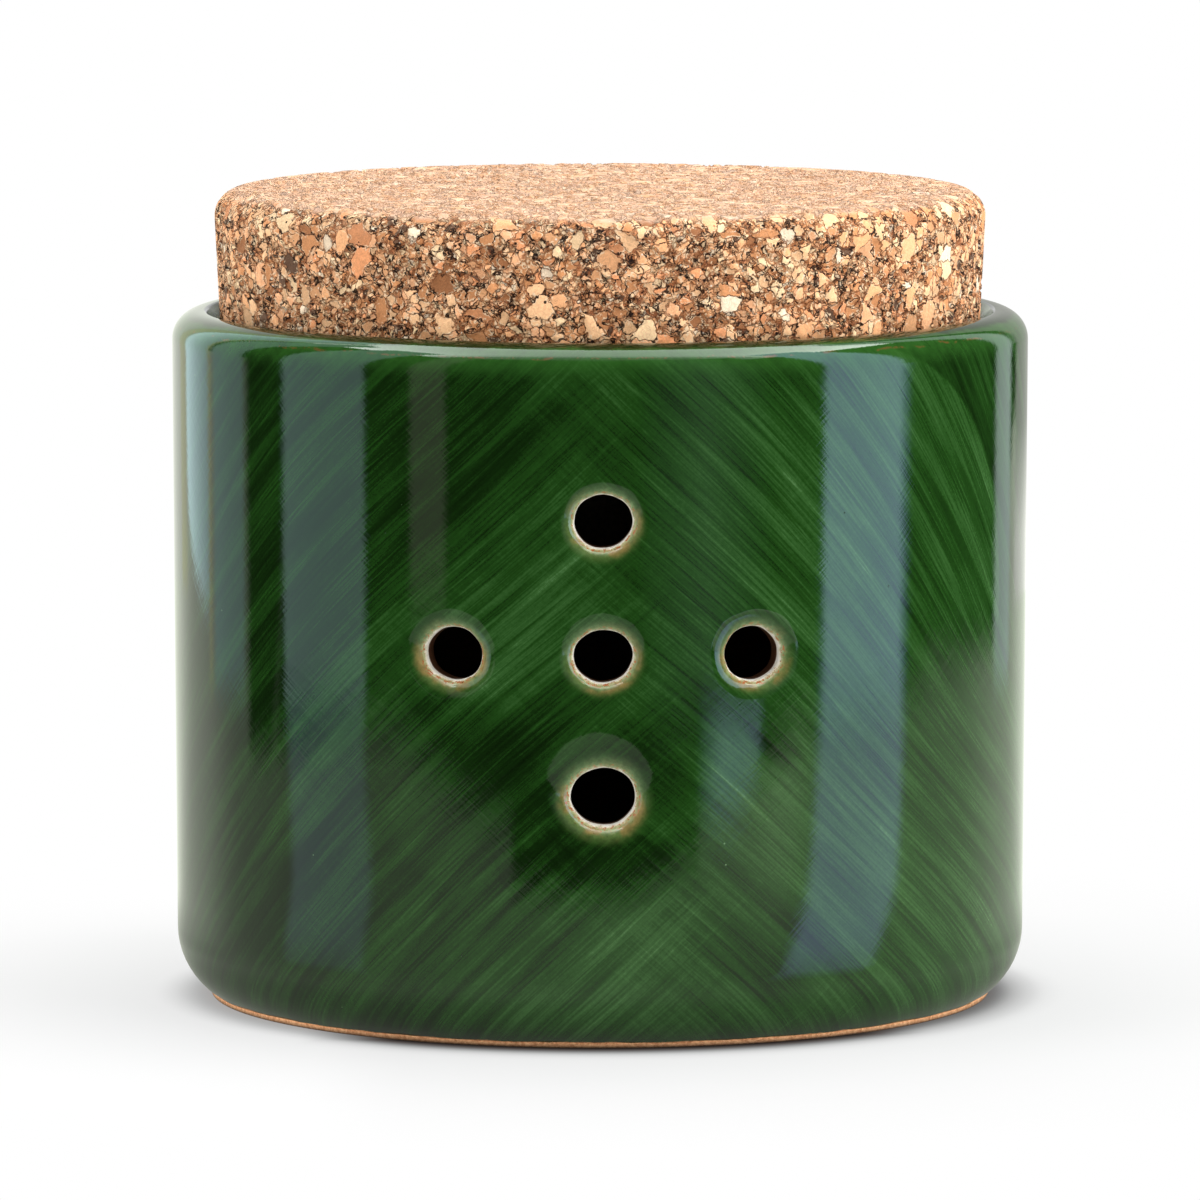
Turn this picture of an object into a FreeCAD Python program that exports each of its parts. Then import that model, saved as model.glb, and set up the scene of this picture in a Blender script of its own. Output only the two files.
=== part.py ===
import FreeCAD, Part
import math
import os
from typing import NamedTuple

# A garlic keeper: a glazed stoneware jar with five vents, closed by a tapered cork stopper.
# Millimetres. +Z is up, the origin is the centre of the foot, and the vents face -Y.

# Jar: outside
JAR_HEIGHT = 100.5
SHOULDER_DIAMETER = 125.0
HEEL_DIAMETER = 124.0
HEEL_HEIGHT = 4.2
HEEL_ROUNDING = 11.3
LIP_OUTER_ROUNDING = 4.2
LIP_INNER_ROUNDING = 0.7

# Jar: bare clay foot, and the glaze that stops just above it
FOOT_DIAMETER = 114.2
FOOT_EDGE_ROUNDING = 0.3
FOOT_RING_WIDTH = 7.0
FOOT_RECESS_DEPTH = 2.0
FOOT_RECESS_ROUNDING = 1.2
GLAZE_LINE_HEIGHT = 0.8
GLAZE_THICKNESS = 0.25

# Jar: inside
WALL = 5.0
FLOOR_THICKNESS = 5.0
FLOOR_ROUNDING = 8.0

# Jar: the throat, a thicker band inside the mouth that the stopper's taper seats in
THROAT_DEPTH = 4.5
THROAT_LENGTH = 6.5
THROAT_RUNOUT = 8.0
THROAT_ROUNDING = 3.0

# Vents, in a cross on the front
VENT_CROSS_HEIGHT = 56.4
VENT_PITCH_UP = 19.1
VENT_PITCH_DOWN = 20.0
VENT_PITCH_AROUND = 22.1
VENT_WIDTH = 8.3
VENT_HEIGHT = 7.5
VENT_EDGE_ROUNDING = 2.1
LOWER_VENT_WIDTH = 9.0
LOWER_VENT_HEIGHT = 8.2
LOWER_VENT_EDGE_ROUNDING = 3.4
VENT_INSIDE_ROUNDING = 0.4

# Cork stopper
STOPPER_HEIGHT = 30.0
STOPPER_ABOVE_LIP = 17.5
STOPPER_TOP_DIAMETER = 112.8
STOPPER_TAPER_DEGREES = 2.8
STOPPER_TOP_ROUNDING = 3.8
STOPPER_BOTTOM_ROUNDING = 1.5
SEAT_CLEARANCE = 0.3

# What follows from the sizes above
STOPPER_TOP = JAR_HEIGHT + STOPPER_ABOVE_LIP
STOPPER_BOTTOM = STOPPER_TOP - STOPPER_HEIGHT
AXIS = FreeCAD.Vector(0, 0, 1)
ORIGIN = FreeCAD.Vector(0, 0, 0)
TOUCH = 1e-6


class Corner(NamedTuple):
    """A corner of a half section: distance from the axis, height, and how far it is rounded."""

    radius: float
    height: float
    rounding: float = 0.0


class Vent(NamedTuple):
    """One opening through the front wall."""

    angle: float
    height: float
    width: float
    tall: float
    edge_rounding: float


def point(corner):
    """The corner as a point of the XZ half plane."""
    return FreeCAD.Vector(corner.radius, 0, corner.height)


def half_turn(before, here, after):
    """Half the angle by which the outline turns at a corner."""
    return (here - before).getAngle(after - here) / 2


def tangent_lengths(corners):
    """The length that each rounding takes from its two sides.

    Where two roundings need more than the side between them, both shrink in proportion.
    """
    points = [point(corner) for corner in corners]
    count = len(corners)
    wanted = []
    for i, corner in enumerate(corners):
        turn = half_turn(points[i - 1], points[i], points[(i + 1) % count])
        wanted.append(corner.rounding * math.tan(turn))
    taken = []
    for i in range(count):
        share = 1.0
        for neighbour in (i - 1, (i + 1) % count):
            side = points[i].distanceToPoint(points[neighbour])
            needed = wanted[i] + wanted[neighbour]
            if needed > side:
                share = min(share, side / needed)
        taken.append(wanted[i] * share)
    return taken


def rounded_arc(before, here, after, length):
    """The arc that rounds a corner, touching both of its sides at this length from it."""
    start = here + (before - here).normalize() * length
    end = here + (after - here).normalize() * length
    turn = half_turn(before, here, after)
    to_middle = length * math.tan(turn / 2)
    middle = here + (start + end - here * 2).normalize() * to_middle
    return Part.Arc(start, middle, end).toShape()


def turned(corners):
    """The solid that a closed half section sweeps out about the Z axis."""
    points = [point(corner) for corner in corners]
    lengths = tangent_lengths(corners)
    arcs = []
    starts = []
    ends = []
    for i, here in enumerate(points):
        if lengths[i] < TOUCH:
            arcs.append(None)
            starts.append(here)
            ends.append(here)
            continue
        arc = rounded_arc(points[i - 1], here, points[(i + 1) % len(points)], lengths[i])
        arcs.append(arc)
        starts.append(arc.firstVertex(True).Point)
        ends.append(arc.lastVertex(True).Point)
    edges = []
    for i, arc in enumerate(arcs):
        if arc is not None:
            edges.append(arc)
        following = starts[(i + 1) % len(starts)]
        if ends[i].distanceToPoint(following) > TOUCH:
            edges.append(Part.makeLine(ends[i], following))
    face = Part.Face(Part.Wire(edges))
    return face.revolve(ORIGIN, AXIS, 360)


def outside_radius(height):
    """Radius of the body's slightly tapered outside at a height."""
    share = (height - HEEL_HEIGHT) / (JAR_HEIGHT - HEEL_HEIGHT)
    return (HEEL_DIAMETER + (SHOULDER_DIAMETER - HEEL_DIAMETER) * share) / 2


def stopper_radius(height):
    """Radius of the stopper's tapered side at a height."""
    drop = STOPPER_TOP - height
    return STOPPER_TOP_DIAMETER / 2 - drop * math.tan(math.radians(STOPPER_TAPER_DEGREES))


def jar_blank():
    """The turned jar before its vents are cut."""
    foot = FOOT_DIAMETER / 2
    recess = foot - FOOT_RING_WIDTH
    floor = FOOT_RECESS_DEPTH + FLOOR_THICKNESS
    throat_top = JAR_HEIGHT - THROAT_DEPTH
    throat_bottom = throat_top - THROAT_LENGTH
    runout = throat_bottom - THROAT_RUNOUT
    return turned(
        [
            Corner(0, FOOT_RECESS_DEPTH),
            Corner(recess, FOOT_RECESS_DEPTH, FOOT_RECESS_ROUNDING),
            Corner(recess, 0, FOOT_EDGE_ROUNDING),
            Corner(foot, 0, FOOT_EDGE_ROUNDING),
            Corner(foot, GLAZE_LINE_HEIGHT),
            Corner(foot + GLAZE_THICKNESS, GLAZE_LINE_HEIGHT),
            Corner(HEEL_DIAMETER / 2, HEEL_HEIGHT, HEEL_ROUNDING),
            Corner(SHOULDER_DIAMETER / 2, JAR_HEIGHT, LIP_OUTER_ROUNDING),
            Corner(SHOULDER_DIAMETER / 2 - WALL, JAR_HEIGHT, LIP_INNER_ROUNDING),
            Corner(stopper_radius(throat_top) + SEAT_CLEARANCE, throat_top, THROAT_ROUNDING),
            Corner(stopper_radius(throat_bottom) + SEAT_CLEARANCE, throat_bottom, THROAT_ROUNDING),
            Corner(outside_radius(runout) - WALL, runout, THROAT_RUNOUT),
            Corner(outside_radius(floor) - WALL, floor, FLOOR_ROUNDING),
            Corner(0, floor),
        ]
    )


def vents():
    """The five vents: a centre one, one each side, one above and a larger one below."""
    step = math.degrees(VENT_PITCH_AROUND / outside_radius(VENT_CROSS_HEIGHT))
    plain = (VENT_WIDTH, VENT_HEIGHT, VENT_EDGE_ROUNDING)
    lower = (LOWER_VENT_WIDTH, LOWER_VENT_HEIGHT, LOWER_VENT_EDGE_ROUNDING)
    return [
        Vent(0, VENT_CROSS_HEIGHT, *plain),
        Vent(-step, VENT_CROSS_HEIGHT, *plain),
        Vent(step, VENT_CROSS_HEIGHT, *plain),
        Vent(0, VENT_CROSS_HEIGHT + VENT_PITCH_UP, *plain),
        Vent(0, VENT_CROSS_HEIGHT - VENT_PITCH_DOWN, *lower),
    ]


def vent_cutter(vent):
    """An oval bar that runs straight out through the front wall."""
    inside = outside_radius(vent.height) - 2 * WALL
    along = 3 * WALL
    if vent.width > vent.tall:
        oval = Part.Ellipse(ORIGIN, vent.width / 2, vent.tall / 2).toShape()
    else:
        oval = Part.Ellipse(ORIGIN, vent.tall / 2, vent.width / 2).toShape()
        oval.rotate(ORIGIN, AXIS, 90)
    bar = Part.Face(Part.Wire([oval])).extrude(FreeCAD.Vector(0, 0, along))
    bar.rotate(ORIGIN, FreeCAD.Vector(1, 0, 0), 90)
    bar.translate(FreeCAD.Vector(0, -inside, vent.height))
    bar.rotate(ORIGIN, AXIS, vent.angle)
    return bar


def vent_edges(jar, vent, outer):
    """The edges of a vent on the jar's outside or on its inside."""
    middle = outside_radius(vent.height) - WALL / 2
    direction = FreeCAD.Rotation(AXIS, vent.angle).multVec(FreeCAD.Vector(0, -1, 0))
    centre = direction * middle + FreeCAD.Vector(0, 0, vent.height)
    reach = max(vent.width, vent.tall) / 2
    found = []
    for edge in jar.Edges:
        spot = edge.valueAt((edge.FirstParameter + edge.LastParameter) / 2) - centre
        outwards = spot.dot(direction)
        sideways = (spot - direction * outwards).Length
        if sideways < reach + TOUCH and abs(outwards) < WALL and (outwards > 0) == outer:
            found.append(edge)
    return found


def make_jar():
    """The jar with its vents cut and their edges softened."""
    jar = jar_blank()
    for vent in vents():
        jar = jar.cut(vent_cutter(vent))
        jar = jar.makeFillet(vent.edge_rounding, vent_edges(jar, vent, True))
        jar = jar.makeFillet(VENT_INSIDE_ROUNDING, vent_edges(jar, vent, False))
    return jar


def make_cork_stopper():
    """The tapered one-piece cork, rounded more at the top than at the bottom."""
    return turned(
        [
            Corner(0, STOPPER_BOTTOM),
            Corner(stopper_radius(STOPPER_BOTTOM), STOPPER_BOTTOM, STOPPER_BOTTOM_ROUNDING),
            Corner(stopper_radius(STOPPER_TOP), STOPPER_TOP, STOPPER_TOP_ROUNDING),
            Corner(0, STOPPER_TOP),
        ]
    )


def write(name, shape):
    """Write one sub-part as its own STEP file."""
    shape.exportStep(os.path.join("parts", name + ".step"))
    box = shape.BoundBox
    solids = len(shape.Solids)
    print(f"{name}: {solids} solid, {box.XLength:.2f} x {box.YLength:.2f} x {box.ZLength:.2f} mm,")
    print(f"    {shape.Volume / 1000:.1f} cm3, valid {shape.isValid()}")


os.makedirs("parts", exist_ok=True)
write("jar", make_jar())
write("cork_stopper", make_cork_stopper())
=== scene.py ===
"""Looks of a garlic keeper: a jar in brushed green glaze with five vents, and its cork stopper.

Metres, +Z up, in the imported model's own frame. The vents face -Y.
"""

import logging
import math
from dataclasses import dataclass
from enum import Enum
from functools import partial, reduce

import bpy
import numpy as np
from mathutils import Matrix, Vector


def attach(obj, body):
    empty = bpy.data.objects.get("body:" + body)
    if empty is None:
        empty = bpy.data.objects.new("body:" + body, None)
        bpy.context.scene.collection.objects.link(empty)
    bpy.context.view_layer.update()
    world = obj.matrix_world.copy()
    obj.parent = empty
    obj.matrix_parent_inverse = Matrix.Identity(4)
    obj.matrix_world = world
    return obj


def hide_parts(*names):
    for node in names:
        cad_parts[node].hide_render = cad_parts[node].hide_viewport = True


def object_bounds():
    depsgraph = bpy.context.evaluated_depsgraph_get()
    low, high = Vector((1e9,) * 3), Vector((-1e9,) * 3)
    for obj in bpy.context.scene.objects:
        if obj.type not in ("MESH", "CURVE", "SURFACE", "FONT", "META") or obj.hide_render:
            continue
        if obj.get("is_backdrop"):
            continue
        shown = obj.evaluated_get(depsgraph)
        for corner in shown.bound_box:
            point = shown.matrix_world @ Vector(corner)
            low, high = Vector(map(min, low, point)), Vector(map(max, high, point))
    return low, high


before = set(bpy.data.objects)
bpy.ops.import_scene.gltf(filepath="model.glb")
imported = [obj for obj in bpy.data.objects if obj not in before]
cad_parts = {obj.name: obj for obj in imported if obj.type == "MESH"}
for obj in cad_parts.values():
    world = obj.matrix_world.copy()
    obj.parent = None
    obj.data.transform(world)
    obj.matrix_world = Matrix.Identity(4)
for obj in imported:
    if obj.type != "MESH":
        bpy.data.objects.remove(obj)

CAD_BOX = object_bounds()
MM = 0.001
PER_MM = 1000.0
HALF = (0.5, 0.5, 0.5)

log = logging.getLogger("garlic_keeper")

Socket = bpy.types.NodeSocket
Color = tuple[float, float, float, float]


def color(red: int, green: int, blue: int) -> Color:
    """A screen colour, 0 to 255, as the linear colour that shaders take.

    Args:
        red: Red on screen.
        green: Green on screen.
        blue: Blue on screen.

    Returns:
        Linear red, green, blue and an alpha of 1.
    """
    linear = []
    for level in (red, green, blue):
        share = level / 255
        linear.append(share / 12.92 if share <= 0.04045 else ((share + 0.055) / 1.055) ** 2.4)
    return (*linear, 1.0)


class Kind(Enum):
    """Socket types of a node group."""

    NUMBER = "NodeSocketFloat"
    VECTOR = "NodeSocketVector"
    MESH = "NodeSocketGeometry"
    MATERIAL = "NodeSocketMaterial"


class Graph:
    """Adds nodes to one shader or geometry tree and joins them."""

    def __init__(self, tree: bpy.types.NodeTree) -> None:
        """Take the tree to work in.

        Args:
            tree: The shader or geometry tree.
        """
        self.tree = tree

    def feed(self, socket: Socket, value: object) -> None:
        """Link a socket to another, or set its value.

        Args:
            socket: The input to set.
            value: Another socket, a number, a vector, a colour or a data block.
        """
        if isinstance(value, bpy.types.NodeSocket):
            self.tree.links.new(value, socket)
        else:
            socket.default_value = value

    def node(self, kind: str, inputs: dict | None = None, **settings: object) -> bpy.types.Node:
        """Add a node.

        Args:
            kind: The node's type.
            inputs: Values or sockets by input name or number.
            settings: The node's own properties.

        Returns:
            The new node.
        """
        made = self.tree.nodes.new(kind)
        for name, value in settings.items():
            setattr(made, name, value)
        for key, value in (inputs or {}).items():
            self.feed(made.inputs[key], value)
        return made

    def math(self, operation: str, *values: object, clamp: bool = False) -> Socket:
        """The result of a Math node."""
        inputs = dict(enumerate(values))
        return self.node("ShaderNodeMath", inputs, operation=operation, use_clamp=clamp).outputs[0]

    def times(self, *values: object) -> Socket:
        """The product of the values."""
        return reduce(partial(self.math, "MULTIPLY"), values)

    def plus(self, *values: object) -> Socket:
        """The sum of the values."""
        return reduce(partial(self.math, "ADD"), values)

    def most(self, *values: object) -> Socket:
        """The largest of the values."""
        return reduce(partial(self.math, "MAXIMUM"), values)

    def least(self, *values: object) -> Socket:
        """The smallest of the values."""
        return reduce(partial(self.math, "MINIMUM"), values)

    def minus(self, first: object, second: object) -> Socket:
        """The first value less the second."""
        return self.math("SUBTRACT", first, second)

    def over(self, first: object, second: object) -> Socket:
        """The first value divided by the second."""
        return self.math("DIVIDE", first, second)

    def length(self, x: Socket, y: Socket) -> Socket:
        """How far a flat spot lies from the origin."""
        return self.math("SQRT", self.plus(self.times(x, x), self.times(y, y)))

    def vector(self, operation: str, *values: object) -> Socket:
        """The vector result of a Vector Math node."""
        inputs = dict(enumerate(values))
        return self.node("ShaderNodeVectorMath", inputs, operation=operation).outputs[0]

    def scaled(self, vector: Socket, factor: object) -> Socket:
        """A vector times a number."""
        inputs = {0: vector, "Scale": factor}
        return self.node("ShaderNodeVectorMath", inputs, operation="SCALE").outputs[0]

    def dot(self, first: Socket, second: object) -> Socket:
        """The dot product of two vectors."""
        inputs = {0: first, 1: second}
        return self.node("ShaderNodeVectorMath", inputs, operation="DOT_PRODUCT").outputs[1]

    def split(self, vector: Socket) -> tuple[Socket, Socket, Socket]:
        """The X, Y and Z of a vector."""
        return tuple(self.node("ShaderNodeSeparateXYZ", {0: vector}).outputs)

    def join(self, x: object, y: object, z: object) -> Socket:
        """A vector from its X, Y and Z."""
        return self.node("ShaderNodeCombineXYZ", {0: x, 1: y, 2: z}).outputs[0]

    def remap(self, value: Socket, low: object, high: object, first: object = 0.0,
              last: object = 1.0, smooth: bool = True) -> Socket:
        """A value carried from one range to another and held at its ends.

        Args:
            value: The value to carry over.
            low: Where the range starts.
            high: Where the range ends.
            first: The result at the start.
            last: The result at the end.
            smooth: Ease in and out, or go straight.

        Returns:
            The carried value.
        """
        inputs = {"Value": value, "From Min": low, "From Max": high, "To Min": first, "To Max": last}
        kind = "SMOOTHSTEP" if smooth else "LINEAR"
        return self.node("ShaderNodeMapRange", inputs, interpolation_type=kind).outputs[0]

    def band(self, value: Socket, rise: tuple, fall: tuple) -> Socket:
        """1 from the end of a range in which it rises to the start of one in which it falls."""
        return self.times(self.remap(value, *rise), self.remap(value, *fall, 1.0, 0.0))

    def mix(self, share: object, first: object, second: object) -> Socket:
        """A mix of two colours."""
        inputs = {0: share, 6: first, 7: second}
        return self.node("ShaderNodeMix", inputs, data_type="RGBA").outputs[2]

    def between(self, share: object, first: object, second: object) -> Socket:
        """A mix of two numbers."""
        return self.node("ShaderNodeMix", {0: share, 2: first, 3: second}).outputs[0]

    def noise(self, place: Socket, scale: object, detail: float = 2.0, roughness: float = 0.5,
              distortion: float = 0.0) -> bpy.types.Node:
        """A Noise Texture node.

        Args:
            place: Where to read it.
            scale: How many of its lumps lie along a unit of length.
            detail: How many finer layers it has.
            roughness: How strong the finer layers are.
            distortion: How far it is warped.

        Returns:
            The node, whose outputs are its value and its colour.
        """
        inputs = {"Vector": place, "Scale": scale, "Detail": detail, "Roughness": roughness,
                  "Distortion": distortion}
        return self.node("ShaderNodeTexNoise", inputs)

    def cloud(self, *settings: object) -> Socket:
        """The value of a noise, from 0 to 1."""
        return self.noise(*settings).outputs[0]

    def spread(self, place: Socket, scale: float, detail: float, roughness: float, low: float,
               high: float) -> Socket:
        """The value of a noise, carried straight from its usual 0.3 to 0.7 to another range."""
        value = self.cloud(place, scale, detail, roughness)
        return self.remap(value, 0.3, 0.7, low, high, False)

    def turned(self, x: object, y: object, angle: object) -> tuple[Socket, Socket]:
        """Turn a flat spot about the origin.

        Args:
            x: Its X.
            y: Its Y.
            angle: The angle in radians.

        Returns:
            X and Y of the turned spot.
        """
        inputs = {"Vector": self.join(x, y, 0.0), "Angle": angle}
        node = self.node("ShaderNodeVectorRotate", inputs, rotation_type="Z_AXIS")
        return self.split(node.outputs[0])[:2]

    def voronoi(self, place: Socket, scale: object, feature: str = "F1") -> bpy.types.Node:
        """A Voronoi Texture node."""
        inputs = {"Vector": place, "Scale": scale, "Randomness": 1.0}
        return self.node("ShaderNodeTexVoronoi", inputs, feature=feature)

    def ramp(self, value: Socket, stops: list[tuple[float, Color]], steps: bool = False) -> Socket:
        """A colour ramp.

        Args:
            value: Where on the ramp to read.
            stops: Places and their colours, in order.
            steps: Hold each colour up to the next stop.

        Returns:
            The colour.
        """
        node = self.node("ShaderNodeValToRGB", {0: value})
        elements = node.color_ramp.elements
        node.color_ramp.interpolation = "CONSTANT" if steps else "LINEAR"
        while len(elements) < len(stops):
            elements.new(1.0)
        for element, (place, shade) in zip(elements, stops):
            element.position = place
            element.color = shade
        return node.outputs[0]


class Group:
    """A node group with named inputs and outputs, built once and placed where it is needed."""

    def __init__(self, name: str, inputs: dict[str, Kind], outputs: dict[str, Kind],
                 tree_kind: str = "ShaderNodeTree") -> None:
        """Make the empty group.

        Args:
            name: The group's name.
            inputs: Input names and types.
            outputs: Output names and types.
            tree_kind: ShaderNodeTree or GeometryNodeTree.
        """
        self.tree = bpy.data.node_groups.new(name, tree_kind)
        for label, kind in inputs.items():
            self.tree.interface.new_socket(name=label, in_out="INPUT", socket_type=kind.value)
        for label, kind in outputs.items():
            self.tree.interface.new_socket(name=label, in_out="OUTPUT", socket_type=kind.value)
        self.graph = Graph(self.tree)
        self.given = self.graph.node("NodeGroupInput").outputs
        self.result = self.graph.node("NodeGroupOutput").inputs

    def place(self, graph: Graph, inputs: dict) -> bpy.types.Node:
        """Put the group in a material.

        Args:
            graph: The material's graph.
            inputs: Values or sockets by input name.

        Returns:
            The group's node.
        """
        return graph.node("ShaderNodeGroup", inputs, node_tree=self.tree)

    def modify(self, piece: bpy.types.Object, inputs: dict) -> None:
        """Run a geometry group on a piece and keep the result as its plain mesh.

        Args:
            piece: The mesh object.
            inputs: Values by input name.
        """
        modifier = piece.modifiers.new(self.tree.name, "NODES")
        modifier.node_group = self.tree
        for item in self.tree.interface.items_tree:
            if item.in_out == "INPUT" and item.name in inputs:
                modifier[item.identifier] = inputs[item.name]
        depsgraph = bpy.context.evaluated_depsgraph_get()
        plain = bpy.data.meshes.new_from_object(piece.evaluated_get(depsgraph))
        piece.modifiers.clear()
        before = piece.data
        piece.data = plain
        bpy.data.meshes.remove(before)
        plain.name = piece.name


def put(name: str, data: bpy.types.ID) -> bpy.types.Object:
    """Put a new object in the scene.

    Args:
        name: The object's name.
        data: Its mesh, lamp or camera.

    Returns:
        The object, at the origin.
    """
    made = bpy.data.objects.new(name, data)
    bpy.context.scene.collection.objects.link(made)
    return made


def blank_material(name: str) -> tuple[bpy.types.Material, Graph]:
    """Start a material with an empty tree.

    Args:
        name: The material's name.

    Returns:
        The material and the graph of its tree.
    """
    material = bpy.data.materials.new(name)
    material.use_nodes = True
    material.node_tree.nodes.clear()
    return material, Graph(material.node_tree)


# Meshes


def even_angles(columns: int) -> np.ndarray:
    """The angles of even columns, in radians from the front towards +X."""
    return np.arange(columns) * (2 * math.pi / columns)


def on_circle(radius: float, degrees: float) -> tuple[float, float]:
    """X and Y of a spot about the axis, at an angle from the front towards +X."""
    angle = math.radians(degrees)
    return radius * math.sin(angle), -radius * math.cos(angle)


class Weave:
    """Collects the points and faces of one mesh, ring by ring."""

    def __init__(self) -> None:
        """Start with nothing."""
        self.points: list[np.ndarray] = []
        self.faces: list[tuple[int, ...]] = []
        self.count = 0

    def add(self, points: np.ndarray) -> np.ndarray:
        """Add points.

        Args:
            points: One row of X, Y, Z for each point.

        Returns:
            The numbers of the new points.
        """
        self.points.append(np.asarray(points, float))
        first = self.count
        self.count += len(points)
        return np.arange(first, self.count)

    def add_ring(self, radius: np.ndarray, height: np.ndarray, columns: int) -> np.ndarray:
        """Add a closed ring about the axis.

        Args:
            radius: Radius at each column, or one for all.
            height: Height at each column, or one for all.
            columns: How many points the ring has.

        Returns:
            The numbers of the new points.
        """
        angle = even_angles(columns)
        height = np.broadcast_to(height, angle.shape)
        return self.add(np.stack([radius * np.sin(angle), -radius * np.cos(angle), height], 1))

    def join(self, ring: np.ndarray, following: np.ndarray, kept: np.ndarray | None = None) -> None:
        """Join two closed rings of as many points with quads.

        Args:
            ring: Point numbers of the first ring.
            following: Point numbers of the second ring.
            kept: Which quads to make. All of them if left out.
        """
        quads = np.stack([ring, np.roll(ring, -1), np.roll(following, -1), following], 1)
        if kept is not None:
            quads = quads[kept]
        self.faces.extend(map(tuple, quads.tolist()))

    def halve(self, ring: np.ndarray, following: np.ndarray) -> None:
        """Join a closed ring to one with half as many points.

        Args:
            ring: Point numbers of the first ring.
            following: Point numbers of the second ring.
        """
        even = ring[0::2]
        odd = ring[1::2]
        after = np.roll(even, -1)
        beside = np.roll(following, -1)
        for corners in ((even, odd, following), (odd, beside, following), (odd, after, beside)):
            self.faces.extend(map(tuple, np.stack(corners, 1).tolist()))

    def cap(self, ring: np.ndarray, centre: np.ndarray) -> None:
        """Close a ring with a fan about a centre point.

        Args:
            ring: Point numbers of the ring.
            centre: X, Y and Z of the centre.
        """
        middle = int(self.add(centre[None, :])[0])
        pairs = np.stack([ring, np.roll(ring, -1)], 1)
        self.faces.extend((a, b, middle) for a, b in pairs.tolist())

    def all_points(self) -> np.ndarray:
        """Every point so far, in order."""
        return np.concatenate(self.points)

    def piece(self, name: str, sharp_degrees: float) -> bpy.types.Object:
        """Make the mesh object, smooth but for its sharp edges.

        Args:
            name: The piece's name.
            sharp_degrees: Edges that turn by more than this stay sharp.

        Returns:
            The object, at the origin.
        """
        mesh = bpy.data.meshes.new(name)
        mesh.from_pydata((self.all_points() * MM).tolist(), [], self.faces)
        mesh.shade_smooth()
        mesh.set_sharp_from_angle(angle=math.radians(sharp_degrees))
        mesh.update()
        return put(name, mesh)


def set_numbers(piece: bpy.types.Object, name: str, values: np.ndarray) -> None:
    """Store one number at each point of a piece.

    Args:
        piece: The mesh object.
        name: The attribute's name.
        values: One value for each point.
    """
    attribute = piece.data.attributes.new(name, "FLOAT", "POINT")
    attribute.data.foreach_set("value", values.astype(np.float32))


@dataclass(frozen=True)
class Corner:
    """A corner of a turned outline, in millimetres."""

    radius: float
    height: float
    rounding: float = 0.0


def unit(way: np.ndarray) -> np.ndarray:
    """The way as a vector of length 1."""
    return way / np.linalg.norm(way)


def turn_at(before: np.ndarray, here: np.ndarray, after: np.ndarray) -> float:
    """The angle in radians by which an outline turns at a corner."""
    return math.acos(float(np.clip(unit(here - before) @ unit(after - here), -1, 1)))


def tangent_lengths(corners: list[Corner], places: list[np.ndarray]) -> list[float]:
    """The length that each rounding takes from its two sides.

    Where two roundings need more than the side between them, both shrink in proportion.

    Args:
        corners: The corners in order.
        places: The corners as points.

    Returns:
        One length for each corner, in millimetres.
    """
    wanted = [0.0]
    for i in range(1, len(corners) - 1):
        turn = turn_at(places[i - 1], places[i], places[i + 1])
        wanted.append(corners[i].rounding * math.tan(turn / 2))
    wanted.append(0.0)
    shares = [1.0] * len(corners)
    for i in range(len(corners) - 1):
        side = float(np.linalg.norm(places[i + 1] - places[i]))
        needed = wanted[i] + wanted[i + 1]
        if needed > side:
            shares[i] = min(shares[i], side / needed)
            shares[i + 1] = min(shares[i + 1], side / needed)
    return [length * share for length, share in zip(wanted, shares)]


def rounded_outline(corners: list[Corner], step_degrees: float) -> np.ndarray:
    """An open outline with its corners rounded by arcs.

    Args:
        corners: The corners in order. The first and last are its ends.
        step_degrees: The longest stretch of arc between two points.

    Returns:
        One row of radius and height for each point.
    """
    places = [np.array([corner.radius, corner.height]) for corner in corners]
    lengths = tangent_lengths(corners, places)
    outline = [places[0]]
    for i in range(1, len(places) - 1):
        here = places[i]
        if lengths[i] < 1e-6:
            outline.append(here)
            continue
        turn = turn_at(places[i - 1], here, places[i + 1])
        to_before = unit(places[i - 1] - here)
        inwards = unit(to_before + unit(places[i + 1] - here))
        radius = lengths[i] / math.tan(turn / 2)
        centre = here + inwards * radius / math.cos(turn / 2)
        start = here + to_before * lengths[i] - centre
        side = math.copysign(1.0, start[1] * to_before[0] - start[0] * to_before[1])
        steps = max(2, math.ceil(math.degrees(turn) / step_degrees))
        for angle in np.linspace(0, side * turn, steps + 1):
            cosine = math.cos(angle)
            sine = math.sin(angle)
            spot = (cosine * start[0] - sine * start[1], sine * start[0] + cosine * start[1])
            outline.append(centre + np.array(spot))
    outline.append(places[-1])
    return np.array(outline)


# Jar


@dataclass(frozen=True)
class Vent:
    """An oval opening through the wall, with the worn-back glaze round its rim.

    The column and row are its middle on the jar's grid. The rim lies shift millimetres from
    the bore's middle, and reaches rim_width and rim_height across.
    """

    column: int
    row: int
    degrees: float
    height: float
    width: float
    tall: float
    depth: float
    rim_width: float
    rim_height: float
    rim_shift: tuple[float, float]
    block: int
    phase: float


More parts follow.
